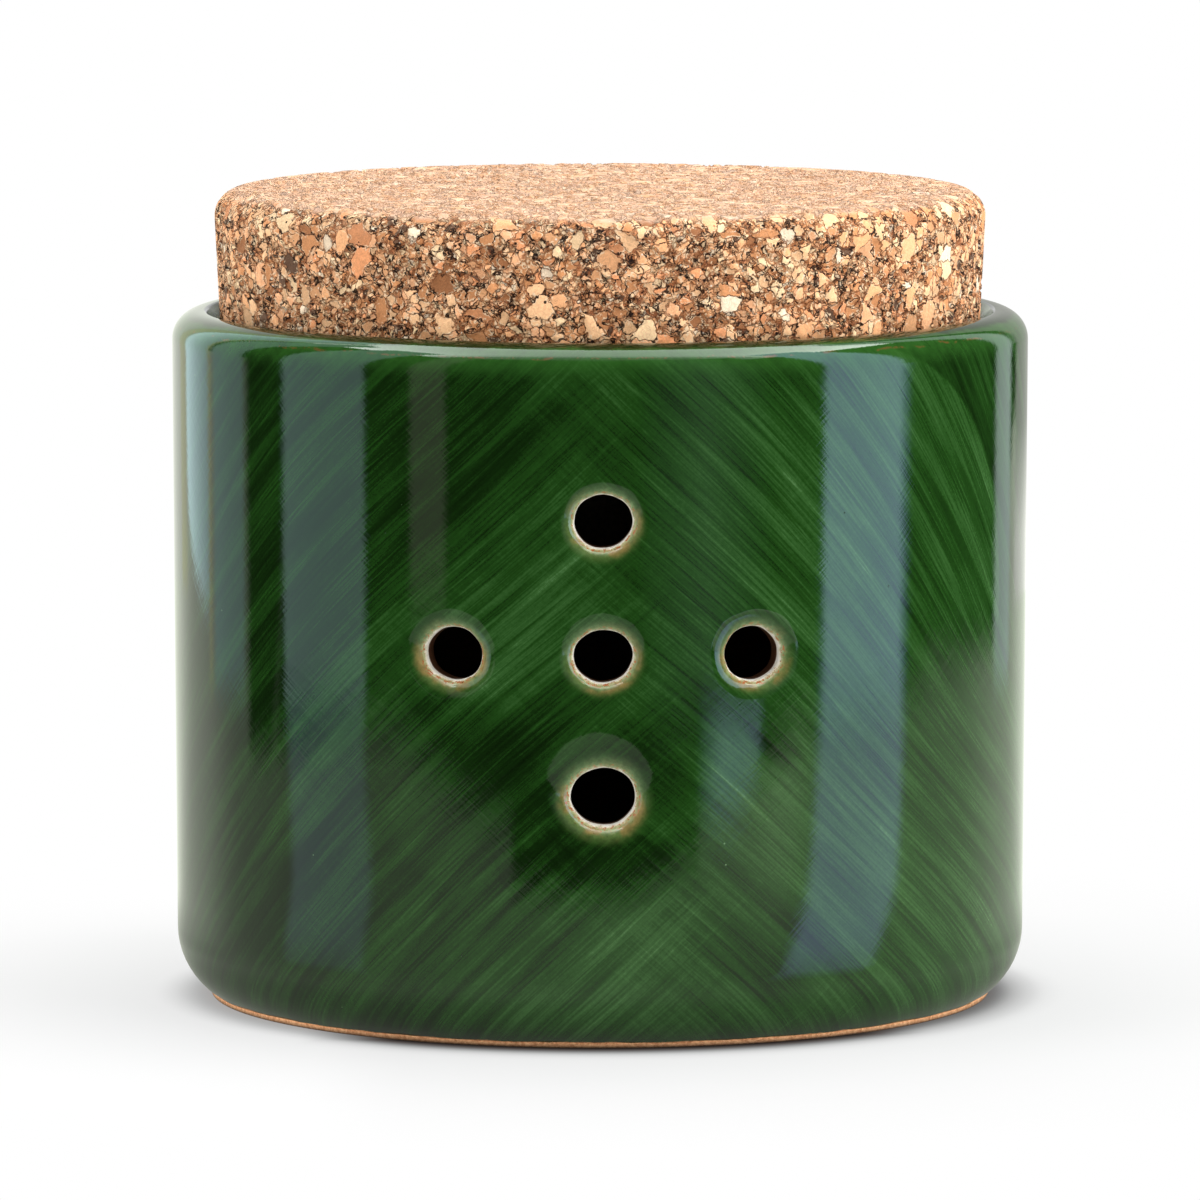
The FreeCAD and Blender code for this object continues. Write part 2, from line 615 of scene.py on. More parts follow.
@dataclass(frozen=True)
class JarSizes:
    """The jar's sizes in millimetres and degrees."""

    height: float = 100.5
    shoulder_diameter: float = 125.0
    heel_diameter: float = 124.0
    heel_height: float = 4.2
    heel_rounding: float = 11.3
    lip_outer_rounding: float = 4.2
    lip_inner_rounding: float = 0.7
    foot_diameter: float = 114.2
    foot_ring: float = 7.0
    foot_recess: float = 2.0
    foot_recess_rounding: float = 1.2
    foot_edge_rounding: float = 0.3
    glaze_line: float = 0.8
    glaze_slant: tuple[float, float] = (-0.05, 0.1)
    glaze_rounding: float = 0.12
    glaze_thickness: float = 0.25
    wall: float = 5.0
    floor: float = 7.0
    floor_rounding: float = 8.0
    throat_radius: float = 55.6
    throat_top: float = 96.0
    throat_foot: float = 89.5
    throat_taper: float = 0.32
    throat_rounding: float = 3.0
    throat_runout: float = 81.5
    runout_rounding: float = 8.0
    inside_drawn_in: tuple[float, float] = (0.1, 0.45)
    vent_height: float = 56.4
    vent_pitch_up: float = 19.1
    vent_pitch_down: float = 20.0
    vent_degrees: float = 20.334


class Jar:
    """The glazed jar: a turned wall with five rimmed vents, modelled as one closed mesh."""

    NAME = "jar_glazed"
    SHARP_DEGREES = 40

    # the wall's grid: rows are counted from the middle vent's, with ROW_STEP millimetres between
    COLUMNS = 348
    PITCH_ROWS = 17
    ROW_STEP = 1.141
    LOWEST_ROW = -40
    HIGHEST_ROW = 34
    LOWEST_INSIDE_ROW = -36
    ROW_MARGIN = 0.3

    # the turned section: degrees between the points of its arcs, and radii in millimetres
    ARC_STEP = 6.5
    MIDDLE_RADIUS = 44.0
    STEADY_RADIUS = 46.0
    MIDDLE_RINGS = ((32.0, True), (18.0, True), (8.0, False))

    # where the hand-made surface waves, in millimetres: heights, a depth below the lip, a radius
    WAVY_ABOVE = 2.0
    WAVY_LIP = 4.0
    GLAZE_EDGE = (0.5, 1.2)
    GLAZE_EDGE_RADIUS = 56.0

    # a vent's rings, as shares of the way to its rim, down its bore and past its inner edge, and
    # how far that edge is rounded, in millimetres
    AROUND_RIM = (0.4, 0.75, 0.97)
    RIM_LEAN = math.radians(16)
    RIM_STEPS = 9
    DOWN_BORE = (0.25, 0.6, 1.0)
    INNER_EDGE = 0.4
    PAST_INNER_EDGE = 0.4

    # how far from a vent its glaze is worn, and the distance stored on the rest of the jar
    WORN_REACH = 3.0
    FAR = 14.0

    def __init__(self, sizes: JarSizes) -> None:
        """Keep the sizes and work out the section.

        Args:
            sizes: The jar's sizes.
        """
        self.sizes = sizes
        self.weave = Weave()
        self.rim_distance: list[np.ndarray] = []
        self.rim_fall: list[np.ndarray] = []
        self.outline = rounded_outline(self.corners(), self.ARC_STEP)
        self.top = int(np.argmax(self.outline[:, 1]))

    def corners(self) -> list[Corner]:
        """The half section, from the middle of the foot up the outside and down the inside.

        Returns:
            The corners in that order.
        """
        s = self.sizes
        foot = s.foot_diameter / 2
        inside = s.shoulder_diameter / 2 - s.wall
        return [
            Corner(self.MIDDLE_RADIUS, s.foot_recess),
            Corner(foot - s.foot_ring, s.foot_recess, s.foot_recess_rounding),
            Corner(foot - s.foot_ring, 0, s.foot_edge_rounding),
            Corner(foot, 0, s.foot_edge_rounding),
            Corner(foot, s.glaze_line + s.glaze_slant[0]),
            Corner(foot + s.glaze_thickness, s.glaze_line + s.glaze_slant[1], s.glaze_rounding),
            Corner(s.heel_diameter / 2, s.heel_height, s.heel_rounding),
            Corner(s.shoulder_diameter / 2, s.height, s.lip_outer_rounding),
            Corner(inside, s.height, s.lip_inner_rounding),
            Corner(s.throat_radius, s.throat_top, s.throat_rounding),
            Corner(s.throat_radius - s.throat_taper, s.throat_foot, s.throat_rounding),
            Corner(inside - s.inside_drawn_in[0], s.throat_runout, s.runout_rounding),
            Corner(inside - s.inside_drawn_in[1], s.floor, s.floor_rounding),
            Corner(self.MIDDLE_RADIUS, s.floor),
        ]

    def vents(self) -> list[Vent]:
        """The five vents. The lower one is larger, and its rim is worn higher and wider.

        Returns:
            The middle, left, right, upper and lower vents.
        """
        s = self.sizes
        across = round(s.vent_degrees / 360 * self.COLUMNS)
        up = self.PITCH_ROWS
        middle = s.vent_height
        high = middle + s.vent_pitch_up
        low = middle - s.vent_pitch_down
        side = s.vent_degrees
        # column, row, degrees, height, width, tall, depth, rim width, height and shift, block, phase
        return [
            Vent(0, 0, 0, middle, 8.3, 7.5, 2.1, 13.1, 12.5, (0.0, 0.1), 8, 0.4),
            Vent(-across, 0, -side, middle, 8.3, 7.6, 2.1, 13.4, 12.8, (0.1, 0.0), 8, 2.1),
            Vent(across, 0, side, middle, 8.3, 7.6, 2.1, 13.4, 12.8, (-0.1, 0.0), 8, 3.9),
            Vent(0, up, 0, high, 8.3, 7.5, 2.0, 12.8, 12.1, (0.1, -0.2), 8, 5.2),
            Vent(0, -up, 0, low, 9.0, 8.2, 2.6, 16.4, 16.2, (-0.8, 1.4), 9, 1.2),
        ]

    def waviness(self, angle: np.ndarray, height: np.ndarray) -> np.ndarray:
        """How far the hand-made outside lies within its ideal shape.

        Args:
            angle: Angles in radians, from the front towards +X.
            height: Heights in millimetres.

        Returns:
            The depths in millimetres.
        """
        slow = np.sin(2 * angle + 0.7 + height / 90) + 0.6 * np.sin(5 * angle - 1.1 - height / 55)
        quick = np.sin(11 * angle + height / 9.5) * np.sin(height / 13 + 3 * angle)
        return 0.01 * (2.2 + slow) + 0.004 * (1 + quick)

    def wall_radius(self, height: np.ndarray, outside: bool) -> np.ndarray:
        """The ideal radius of the wall.

        Args:
            height: Heights in millimetres.
            outside: Whether the outside is meant, or the inside.

        Returns:
            The radii in millimetres.
        """
        if outside:
            part = self.outline[: self.top]
        else:
            part = self.outline[: self.top : -1]
        steady = part[:, 0] > self.STEADY_RADIUS
        return np.interp(height, part[steady, 1], part[steady, 0])

    def add_ring(self, radius: np.ndarray, height: np.ndarray, columns: int) -> np.ndarray:
        """Add a closed ring about the axis, far from the vents.

        Args:
            radius: Radius at each column, or one for all.
            height: Height at each column, or one for all.
            columns: How many points the ring has.

        Returns:
            The point numbers.
        """
        self.rim_distance.append(np.full(columns, self.FAR))
        self.rim_fall.append(np.zeros(columns))
        return self.weave.add_ring(radius, height, columns)

    def turned_ring(self, radius: float, height: float, outside: bool) -> np.ndarray:
        """Add a full ring of the section, with the hand-made waviness on the outside.

        Args:
            radius: The ring's radius in millimetres.
            height: Its height.
            outside: Whether it lies on the outside.

        Returns:
            The point numbers.
        """
        angle = even_angles(self.COLUMNS)
        heights = np.full(self.COLUMNS, height)
        radii = np.full(self.COLUMNS, radius)
        if outside and height > self.WAVY_ABOVE:
            radii = radii - self.waviness(angle, heights)
        within_lip = height - self.sizes.height + self.WAVY_LIP
        if within_lip > 0:
            dip = 0.05 * (1.2 + np.sin(3 * angle + 0.4) + 0.5 * np.sin(8 * angle + 2.0))
            heights = heights - dip * within_lip / self.WAVY_LIP
        low, high = self.GLAZE_EDGE
        if low < height < high and radius > self.GLAZE_EDGE_RADIUS:
            heights = heights + 0.06 * np.sin(9 * angle) * np.sin(23 * angle + 1.0)
        return self.add_ring(radii, heights, self.COLUMNS)

    def rows(self, outside: bool) -> dict[int, float]:
        """Grid rows of the wall and their heights.

        Args:
            outside: Whether the outside is meant, or the inside.

        Returns:
            Heights in millimetres by row, counted from the middle vent's.
        """
        lowest = self.LOWEST_ROW if outside else self.LOWEST_INSIDE_ROW
        rows = range(lowest, self.HIGHEST_ROW + 1)
        return {row: self.sizes.vent_height + row * self.ROW_STEP for row in rows}

    def skipped(self, row: int) -> np.ndarray:
        """Which quads between a row and the next one up are kept, so that the vents stay open.

        Args:
            row: The lower row.

        Returns:
            True or False for each column.
        """
        kept = np.ones(self.COLUMNS, bool)
        for vent in self.vents():
            if vent.row - vent.block <= row < vent.row + vent.block:
                gone = np.arange(vent.column - vent.block, vent.column + vent.block)
                kept[gone % self.COLUMNS] = False
        return kept

    def block_edge(self, vent: Vent, grid: dict[int, np.ndarray]) -> np.ndarray:
        """The edge of a vent's block of the grid, anticlockwise from outside.

        Args:
            vent: The vent.
            grid: Point numbers of the grid's rows.

        Returns:
            The point numbers.
        """
        size = vent.block
        run = np.arange(-size, size)
        steps = [(i, -size) for i in run] + [(size, i) for i in run]
        steps += [(-i, size) for i in run] + [(-size, -i) for i in run]
        edge = []
        for across, up in steps:
            edge.append(grid[vent.row + up][(vent.column + across) % self.COLUMNS])
        return np.array(edge)

    def beside(self, vent: Vent, ring: np.ndarray) -> np.ndarray:
        """How far a ring's points lie to the right of a vent's bore, and above it.

        Args:
            vent: The vent.
            ring: The point numbers.

        Returns:
            A row of distances to the right and a row of distances up, in millimetres.
        """
        places = self.weave.all_points()[ring]
        angle = math.radians(vent.degrees)
        side = places[:, 0] * math.cos(angle) + places[:, 1] * math.sin(angle)
        return np.stack([side, places[:, 2] - vent.height])

    def vent_ring(self, before: np.ndarray, vent: Vent, spots: np.ndarray, out: np.ndarray,
                  distance: np.ndarray) -> np.ndarray:
        """Add a ring of points about a vent's bore and join it to the ring before.

        Args:
            before: Point numbers of the ring before.
            vent: The vent.
            spots: How far the points lie to the bore's right and above it, in two rows.
            out: Distances from the jar's axis, along the bore.
            distance: Distance of each point along the surface from the bore's edge.

        Returns:
            The point numbers.
        """
        side, up = spots
        angle = math.radians(vent.degrees)
        x = side * math.cos(angle) + out * math.sin(angle)
        y = side * math.sin(angle) - out * math.cos(angle)
        self.rim_distance.append(np.broadcast_to(distance, side.shape).astype(float))
        self.rim_fall.append(-up / np.hypot(side, up))
        ring = self.weave.add(np.stack([x, y, vent.height + up], 1))
        self.weave.join(before, ring)
        return ring

    def depth_of_wall(self, vent: Vent, spots: np.ndarray, outside: bool) -> np.ndarray:
        """Distance of the wall from the axis, along a vent's bore.

        Args:
            vent: The vent.
            spots: How far the points lie to the bore's right and above it, in two rows.
            outside: Whether the outside of the wall is meant, or the inside.

        Returns:
            The distances in millimetres.
        """
        side, up = spots
        height = vent.height + up
        radius = self.wall_radius(height, outside)
        if outside:
            turn = math.radians(vent.degrees) + np.arcsin(side / radius)
            radius = radius - self.waviness(turn, height)
        return np.sqrt(radius**2 - side**2)

    def cut_vent(self, vent: Vent, outer: dict[int, np.ndarray],
                 inner: dict[int, np.ndarray]) -> None:
        """Fill a vent's block: the surface round it, its rim, its bore and its inner edge.

        Args:
            vent: The vent.
            outer: Rows of the outside grid.
            inner: Rows of the inside grid.
        """
        ring = self.block_edge(vent, outer)
        edge = self.beside(vent, ring)
        turn = np.arctan2(edge[1], edge[0])
        way = np.stack([np.cos(turn), np.sin(turn)])
        wobble = 1 + 0.012 * np.sin(2 * turn + vent.phase) + 0.010 * np.sin(3 * turn - vent.phase)
        wobble = wobble + 0.006 * np.sin(7 * turn + 3 * vent.phase)
        bore = np.array([[vent.width / 2], [vent.tall / 2]]) * way * wobble
        ripple = 1 + 0.012 * np.sin(4 * turn + vent.phase) + 0.008 * np.sin(9 * turn)
        rim = np.array([[vent.rim_width / 2], [vent.rim_height / 2]]) * way * ripple
        rim = np.array(vent.rim_shift)[:, None] + rim
        reach = np.hypot(*(rim - bore))
        drawn_in = min(1.0, self.WORN_REACH / float(reach.mean()))
        for share in self.AROUND_RIM:
            spots = edge + (rim - edge) * share
            out = self.depth_of_wall(vent, spots, True)
            beyond = np.hypot(*(spots - rim))
            ring = self.vent_ring(ring, vent, spots, out, (reach + beyond) * drawn_in)
        level = math.cos(self.RIM_LEAN)
        for lean in np.linspace(self.RIM_LEAN, math.pi / 2, self.RIM_STEPS):
            share = (1 - math.sin(lean)) / (1 - math.sin(self.RIM_LEAN))
            spots = bore + (rim - bore) * share
            fall = (level - math.cos(lean)) / level
            out = self.depth_of_wall(vent, spots, True) - vent.depth * fall
            ring = self.vent_ring(ring, vent, spots, out, reach * share * drawn_in)
        mouth = self.depth_of_wall(vent, bore, True) - vent.depth
        inside = self.depth_of_wall(vent, bore, False)
        for share in self.DOWN_BORE:
            out = mouth + (inside + self.INNER_EDGE - mouth) * share
            ring = self.vent_ring(ring, vent, bore, out, -(mouth - out))
        for lean in (math.pi / 4, math.pi / 2):
            spots = bore + self.INNER_EDGE * (1 - math.cos(lean)) * way
            out = self.depth_of_wall(vent, spots, False) + self.INNER_EDGE * (1 - math.sin(lean))
            ring = self.vent_ring(ring, vent, spots, out, -self.FAR)
        last = self.block_edge(vent, inner)
        spots = spots + (self.beside(vent, last) - spots) * self.PAST_INNER_EDGE
        out = self.depth_of_wall(vent, spots, False)
        ring = self.vent_ring(ring, vent, spots, out, -self.FAR)
        self.weave.join(ring, last)

    def close_middle(self, ring: np.ndarray, height: float) -> None:
        """Close a flat face from its outermost ring to the axis, with ever fewer points.

        Args:
            ring: Point numbers of the outermost ring.
            height: The face's height.
        """
        columns = self.COLUMNS
        for radius, halve in self.MIDDLE_RINGS:
            columns = columns // 2 if halve else columns
            following = self.add_ring(radius, height, columns)
            if halve:
                self.weave.halve(ring, following)
            else:
                self.weave.join(ring, following)
            ring = following
        self.weave.cap(ring, np.array([0.0, 0.0, height]))
        self.rim_distance.append(np.full(1, self.FAR))
        self.rim_fall.append(np.zeros(1))

    def wall_rings(self, rows: dict[int, float], outside: bool) -> dict[int, np.ndarray]:
        """Add the wall's rings.

        Args:
            rows: Grid rows and their heights, in the order in which to add them.
            outside: Whether they lie on the outside or on the inside.

        Returns:
            The point numbers by row.
        """
        rings = {}
        for row, height in rows.items():
            radius = float(self.wall_radius(np.array(height), outside))
            rings[row] = self.turned_ring(radius, height, outside)
        return rings

    def build(self) -> bpy.types.Object:
        """Model the jar.

        Returns:
            The jar's piece, with its distance from the vents' edges stored on it.
        """
        outer_rows = self.rows(True)
        inner_rows = self.rows(False)
        outside = self.outline[: self.top + 1]
        inside = self.outline[self.top + 1 :]
        margin = self.ROW_MARGIN
        below = [spot for spot in outside if spot[1] < min(outer_rows.values()) - margin]
        lip = [spot for spot in outside if spot[1] > max(outer_rows.values()) + margin]
        lip += [spot for spot in inside if spot[1] > max(inner_rows.values()) + margin]
        bottom = [spot for spot in inside if spot[1] < min(inner_rows.values()) - margin]
        rings = [self.turned_ring(*spot, True) for spot in below]
        outer = self.wall_rings(outer_rows, True)
        rings += outer.values()
        rings += [self.turned_ring(*spot, True) for spot in lip]
        inner = self.wall_rings(dict(reversed(inner_rows.items())), False)
        rings += inner.values()
        rings += [self.turned_ring(*spot, False) for spot in bottom]
        numbers = {int(ring[0]): row for row, ring in outer.items()}
        inner_numbers = {int(ring[0]): row for row, ring in inner.items()}
        for ring, following in zip(rings, rings[1:]):
            kept = None
            if int(ring[0]) in numbers and int(following[0]) in numbers:
                kept = self.skipped(numbers[int(ring[0])])
            if int(ring[0]) in inner_numbers and int(following[0]) in inner_numbers:
                kept = self.skipped(inner_numbers[int(following[0])])
            self.weave.join(ring, following, kept)
        self.close_middle(rings[-1], self.sizes.floor)
        self.close_middle(rings[0][::-1], self.sizes.foot_recess)
        for vent in self.vents():
            self.cut_vent(vent, outer, inner)
        piece = self.weave.piece(self.NAME, self.SHARP_DEGREES)
        set_numbers(piece, "rim_distance", np.concatenate(self.rim_distance))
        set_numbers(piece, "rim_fall", np.concatenate(self.rim_fall))
        return piece


# Cork stopper


@dataclass(frozen=True)
class StopperSizes:
    """The stopper's sizes in millimetres and degrees."""

    top: float = 118.0
    height: float = 30.0
    top_diameter: float = 112.8
    taper_degrees: float = 2.8
    top_rounding: float = 3.8
    bottom_rounding: float = 1.5


class Stopper:
    """The tapered plug of pressed cork grains."""

    NAME = "stopper_cork_grained"
    SIDES = 160
    SHARP_DEGREES = 60

    # millimetres, but for the degrees between the points of an arc
    ARC_STEP = 9.0
    TOP_DISC_INSET = 6.0
    BOTTOM_DISC_INSET = 4.0
    SPACING = 1.0
    FINE_SPACING = 0.5
    FINE_ABOVE = 100.0
    INSIDE_JAR = 98.5

    def __init__(self, sizes: StopperSizes) -> None:
        """Keep the sizes.

        Args:
            sizes: The stopper's sizes.
        """
        self.sizes = sizes
        self.weave = Weave()

    def disc(self, radius: float, height: float, upwards: bool) -> np.ndarray:
        """Add a flat disc of even squares.

        Args:
            radius: The disc's radius in millimetres.
            height: Its height.
            upwards: Whether it faces up.

        Returns:
            The point numbers of its edge, in order of angle from the front towards +X.
        """
        half = self.SIDES // 2
        steps = np.arange(-half, half + 1) / half
        across, along = np.meshgrid(steps, steps, indexing="ij")
        wide = np.abs(across) >= np.abs(along)
        reach = np.where(wide, across, along)
        lesser = np.where(wide, along, across)
        safe = np.where(reach == 0, 1, reach)
        lean = math.pi / 4 * lesser / safe
        angle = np.where(wide, lean, math.pi / 2 - lean)
        x = radius * reach * np.cos(angle)
        y = radius * reach * np.sin(angle)
        points = np.stack([x.ravel(), y.ravel(), np.full(x.size, height)], 1)
        numbers = self.weave.add(points).reshape(x.shape)
        quads = [numbers[:-1, :-1], numbers[1:, :-1], numbers[1:, 1:], numbers[:-1, 1:]]
        if not upwards:
            quads = quads[::-1]
        flat = np.stack([part.ravel() for part in quads], 1)
        self.weave.faces.extend(map(tuple, flat.tolist()))
        edge = [numbers[:-1, 0], numbers[-1, :-1], numbers[:0:-1, -1], numbers[0, :0:-1]]
        ring = np.concatenate(edge)
        start = int(np.argmin(self.weave.all_points()[ring][:, 1]))
        return np.roll(ring, -start)

    def build(self) -> bpy.types.Object:
        """Model the stopper before its grains are raised.

        Returns:
            The stopper's smooth piece.
        """
        s = self.sizes
        bottom = s.top - s.height
        narrow = s.top_diameter / 2 - s.height * math.tan(math.radians(s.taper_degrees))
        corners = [
            Corner(narrow - self.BOTTOM_DISC_INSET, bottom),
            Corner(narrow, bottom, s.bottom_rounding),
            Corner(s.top_diameter / 2, s.top, s.top_rounding),
            Corner(s.top_diameter / 2 - self.TOP_DISC_INSET, s.top),
        ]
        outline = rounded_outline(corners, self.ARC_STEP)
        columns = 4 * self.SIDES
        spots = [outline[0]]
        for here, after in zip(outline, outline[1:]):
            fine = max(here[1], after[1]) > self.FINE_ABOVE
            spacing = self.FINE_SPACING if fine else self.SPACING
            steps = max(1, round(float(np.linalg.norm(after - here)) / spacing))
            spots += [here + (after - here) * (i + 1) / steps for i in range(steps)]
        spots = self.thinned(spots)
        ring = self.disc(spots[0][0], bottom, False)
        for radius, height in spots[1:-1]:
            following = self.weave.add_ring(radius, height, columns)
            self.weave.join(ring, following)
            ring = following
        self.weave.join(ring, self.disc(spots[-1][0], s.top, True))
        return self.weave.piece(self.NAME, self.SHARP_DEGREES)

    def thinned(self, spots: list[np.ndarray]) -> list[np.ndarray]:
        """Leave out every second row of the side where it sits inside the jar.

        Args:
            spots: Points of the outline, from the bottom up.

        Returns:
            The points that are kept.
        """
        low = self.sizes.top - self.sizes.height + 2 * self.sizes.bottom_rounding
        kept = []
        for i, spot in enumerate(spots):
            inside = low < spot[1] < self.INSIDE_JAR
            if not inside or i % 2 == 0:
                kept.append(spot)
        return kept


# Finishes


@dataclass(frozen=True)
class GrainSizes:
    """How the cork's grains look, in millimetres, and how many stay whole at each size."""

    large: float = 2.9
    middle: float = 1.6
    small: float = 0.8
    large_share: float = 0.17
    middle_share: float = 0.52
    warp: float = 0.85
    fine_warp: float = 0.3
    crevice: float = 0.13


@dataclass(frozen=True)
class Grains:
    """Sockets of the cork's grain pattern."""

    chance: Socket
    shade: Socket
    edge: Socket
    tilt: Socket
    raised: Socket


@dataclass(frozen=True)
class Cells:
    """Sockets of one size of cells: three chances, the distance to the edge and a tilt."""

    chances: tuple[Socket, Socket, Socket]
    edge: Socket
    tilt: Socket


def add_cells(graph: Graph, place: Socket, size: float) -> Cells:
    """Add cells of one size.

    Args:
        graph: The tree to add to.
        place: Position in millimetres.
        size: How far apart the cells lie.

    Returns:
        The cells' sockets.
    """
    cells = graph.voronoi(place, 1 / size)
    edge = graph.voronoi(place, 1 / size, "DISTANCE_TO_EDGE").outputs["Distance"]
    lean = graph.vector("SUBTRACT", cells.outputs["Color"], HALF)
    middle = graph.scaled(cells.outputs["Position"], size)
    tilt = graph.dot(graph.vector("SUBTRACT", place, middle), lean)
    chances = graph.split(cells.outputs["Color"])
    return Cells(chances, graph.times(edge, size), tilt)


def add_grains(graph: Graph, place: Socket, sizes: GrainSizes) -> Grains:
    """Add the pattern of pressed grains to a shader or a geometry tree.

    Large grains break into middling ones and those into small ones, but for the share of each
    that stays whole.

    Args:
        graph: The tree to add to.
        place: Position on the stopper in millimetres.
        sizes: The grains' sizes.

    Returns:
        Each grain's own chance and shade, the distance to its edge, its tilt and how far it
        stands.
    """
    for scale, detail, reach in ((0.5, 2.0, sizes.warp), (2.0, 1.0, sizes.fine_warp)):
        bend = graph.vector("SUBTRACT", graph.noise(place, scale, detail, 0.6).outputs[1], HALF)
        place = graph.vector("ADD", place, graph.scaled(bend, reach * 2))
    large = add_cells(graph, place, sizes.large)
    middle = add_cells(graph, place, sizes.middle)
    small = add_cells(graph, place, sizes.small)
    keep_large = graph.math("LESS_THAN", large.chances[0], sizes.large_share)
    keep_middle = graph.math("LESS_THAN", middle.chances[0], sizes.middle_share)

    def pick(of_large: Socket, of_middle: Socket, of_small: Socket) -> Socket:
        """The value of whichever size of grain is here."""
        broken = graph.between(keep_middle, of_small, of_middle)
        return graph.between(keep_large, broken, of_large)

    chance = pick(large.chances[1], middle.chances[1], small.chances[1])
    shade = pick(large.chances[2], middle.chances[2], small.chances[2])
    middle_edge = graph.least(large.edge, middle.edge)
    small_edge = graph.least(middle_edge, small.edge)
    edge = pick(large.edge, middle_edge, small_edge)
    tilt = pick(graph.times(large.tilt, 0.6), middle.tilt, small.tilt)
    sunk = graph.remap(edge, 0.0, sizes.crevice, -1.0, 0.0)
    raised = graph.plus(tilt, graph.times(graph.minus(shade, 0.5), 0.8), graph.times(sunk, 0.9))
    return Grains(chance, shade, edge, tilt, raised)


def numbers(*names: str) -> dict[str, Kind]:
    """Sockets of a node group that each carry a number."""
    return dict.fromkeys(names, Kind.NUMBER)


class Speckle(Group):
    """Small round spots scattered at random, used on the glaze and the cork."""

    def __init__(self) -> None:
        """Make the group."""
        inputs = {"Place": Kind.VECTOR, **numbers("Spacing", "Radius", "Share")}
        super().__init__("Speckle", inputs, numbers("Mask"))
        graph = self.graph
        given = self.given
        cells = graph.voronoi(given["Place"], graph.over(1.0, given["Spacing"]))
        distance = graph.times(cells.outputs["Distance"], given["Spacing"])
        lot = graph.split(cells.outputs["Color"])
        radius = graph.times(given["Radius"], graph.remap(lot[1], 0, 1, 0.4, 1.0))
        spot = graph.remap(distance, graph.times(radius, 0.6), radius, 1.0, 0.0)
        drawn = graph.math("LESS_THAN", lot[0], given["Share"])
        graph.feed(self.result["Mask"], graph.times(spot, drawn))

    def spots(self, graph: Graph, place: Socket, spacing: float, radius: float,
              share: float) -> Socket:
        """Put spots in a material.

        Args:
            graph: The material's graph.
            place: Position in millimetres.
            spacing: How far apart they could lie.
            radius: The largest radius of a spot.
            share: The share of those places that have one.

        Returns:
            1 on the spots.
        """
        inputs = {"Place": place, "Spacing": spacing, "Radius": radius, "Share": share}
        return self.place(graph, inputs).outputs[0]


def stroke_group() -> Group:
    """Brush strokes laid in one direction on an unrolled surface.

    Returns:
        The node group.
    """
    inputs = numbers("Around", "Height", "Angle", "Seed")
    group = Group("Brush strokes", inputs, numbers("Band", "Fibre", "Hair", "Fray"))
    graph = group.graph
    given = group.given
    seed = graph.times(given["Seed"], 37.0)
    flat = graph.join(given["Around"], given["Height"], seed)
    angle = graph.plus(given["Angle"], graph.spread(flat, 0.012, 1.0, 0.5, -0.03, 0.03))
    along, across = graph.turned(given["Around"], given["Height"], angle)
    slow = graph.join(graph.times(along, 0.012), graph.times(across, 0.05), seed)
    wander = graph.cloud(slow, 1.0, 1.0)
    across = graph.plus(across, graph.times(wander, 1.2))

    def streak(length: float, width: float, detail: float, shift: float) -> Socket:
        """Noise drawn out along the strokes."""
        spot = graph.join(graph.over(along, length), graph.over(across, width), graph.plus(seed, shift))
        return graph.cloud(spot, 1.0, detail, 0.55)

    def ridge(length: float, width: float, thin: float, shift: float) -> Socket:
        """Thin lines drawn out along the strokes."""
        level = graph.math("ABSOLUTE", graph.minus(streak(length, width, 1.0, shift), 0.5))
        return graph.remap(level, 0.0, thin, 1.0, 0.0)

    band = graph.remap(streak(45, 3.4, 2.0, 1.0), 0.3, 0.7)
    fine = graph.remap(streak(17, 0.36, 3.0, 2.0), 0.34, 0.66, 0.0, 1.0, False)
    broad = graph.remap(streak(30, 1.3, 2.0, 6.0), 0.33, 0.67, 0.0, 1.0, False)
    broken = graph.remap(streak(18, 3.0, 2.0, 4.0), 0.47, 0.60)
    hair = graph.times(ridge(34, 1.7, 0.025, 3.0), broken)
    groove = graph.times(ridge(40, 1.9, 0.025, 8.0), graph.minus(1.0, broken))
    graph.feed(group.result["Band"], band)
    graph.feed(group.result["Fibre"], graph.between(0.36, fine, broad))
    graph.feed(group.result["Hair"], graph.minus(hair, graph.times(groove, 0.35)))
    graph.feed(group.result["Fray"], streak(16, 2.6, 3.0, 5.0))
    return group


def patch_group() -> Group:
    """A soft oval patch on an unrolled surface, drawn out along one direction.

    Returns:
        The node group.
    """
    inputs = numbers("Around", "Height", "Length", "Width", "Angle", "Fray")
    group = Group("Soft patch", inputs, numbers("Mask"))
    graph = group.graph
    given = group.given
    along, across = graph.turned(given["Around"], given["Height"], given["Angle"])
    along = graph.over(along, given["Length"])
    across = graph.over(across, given["Width"])
    reach = graph.plus(graph.length(along, across), given["Fray"])
    graph.feed(group.result["Mask"], graph.remap(reach, 0.35, 1.0, 1.0, 0.0))
    return group


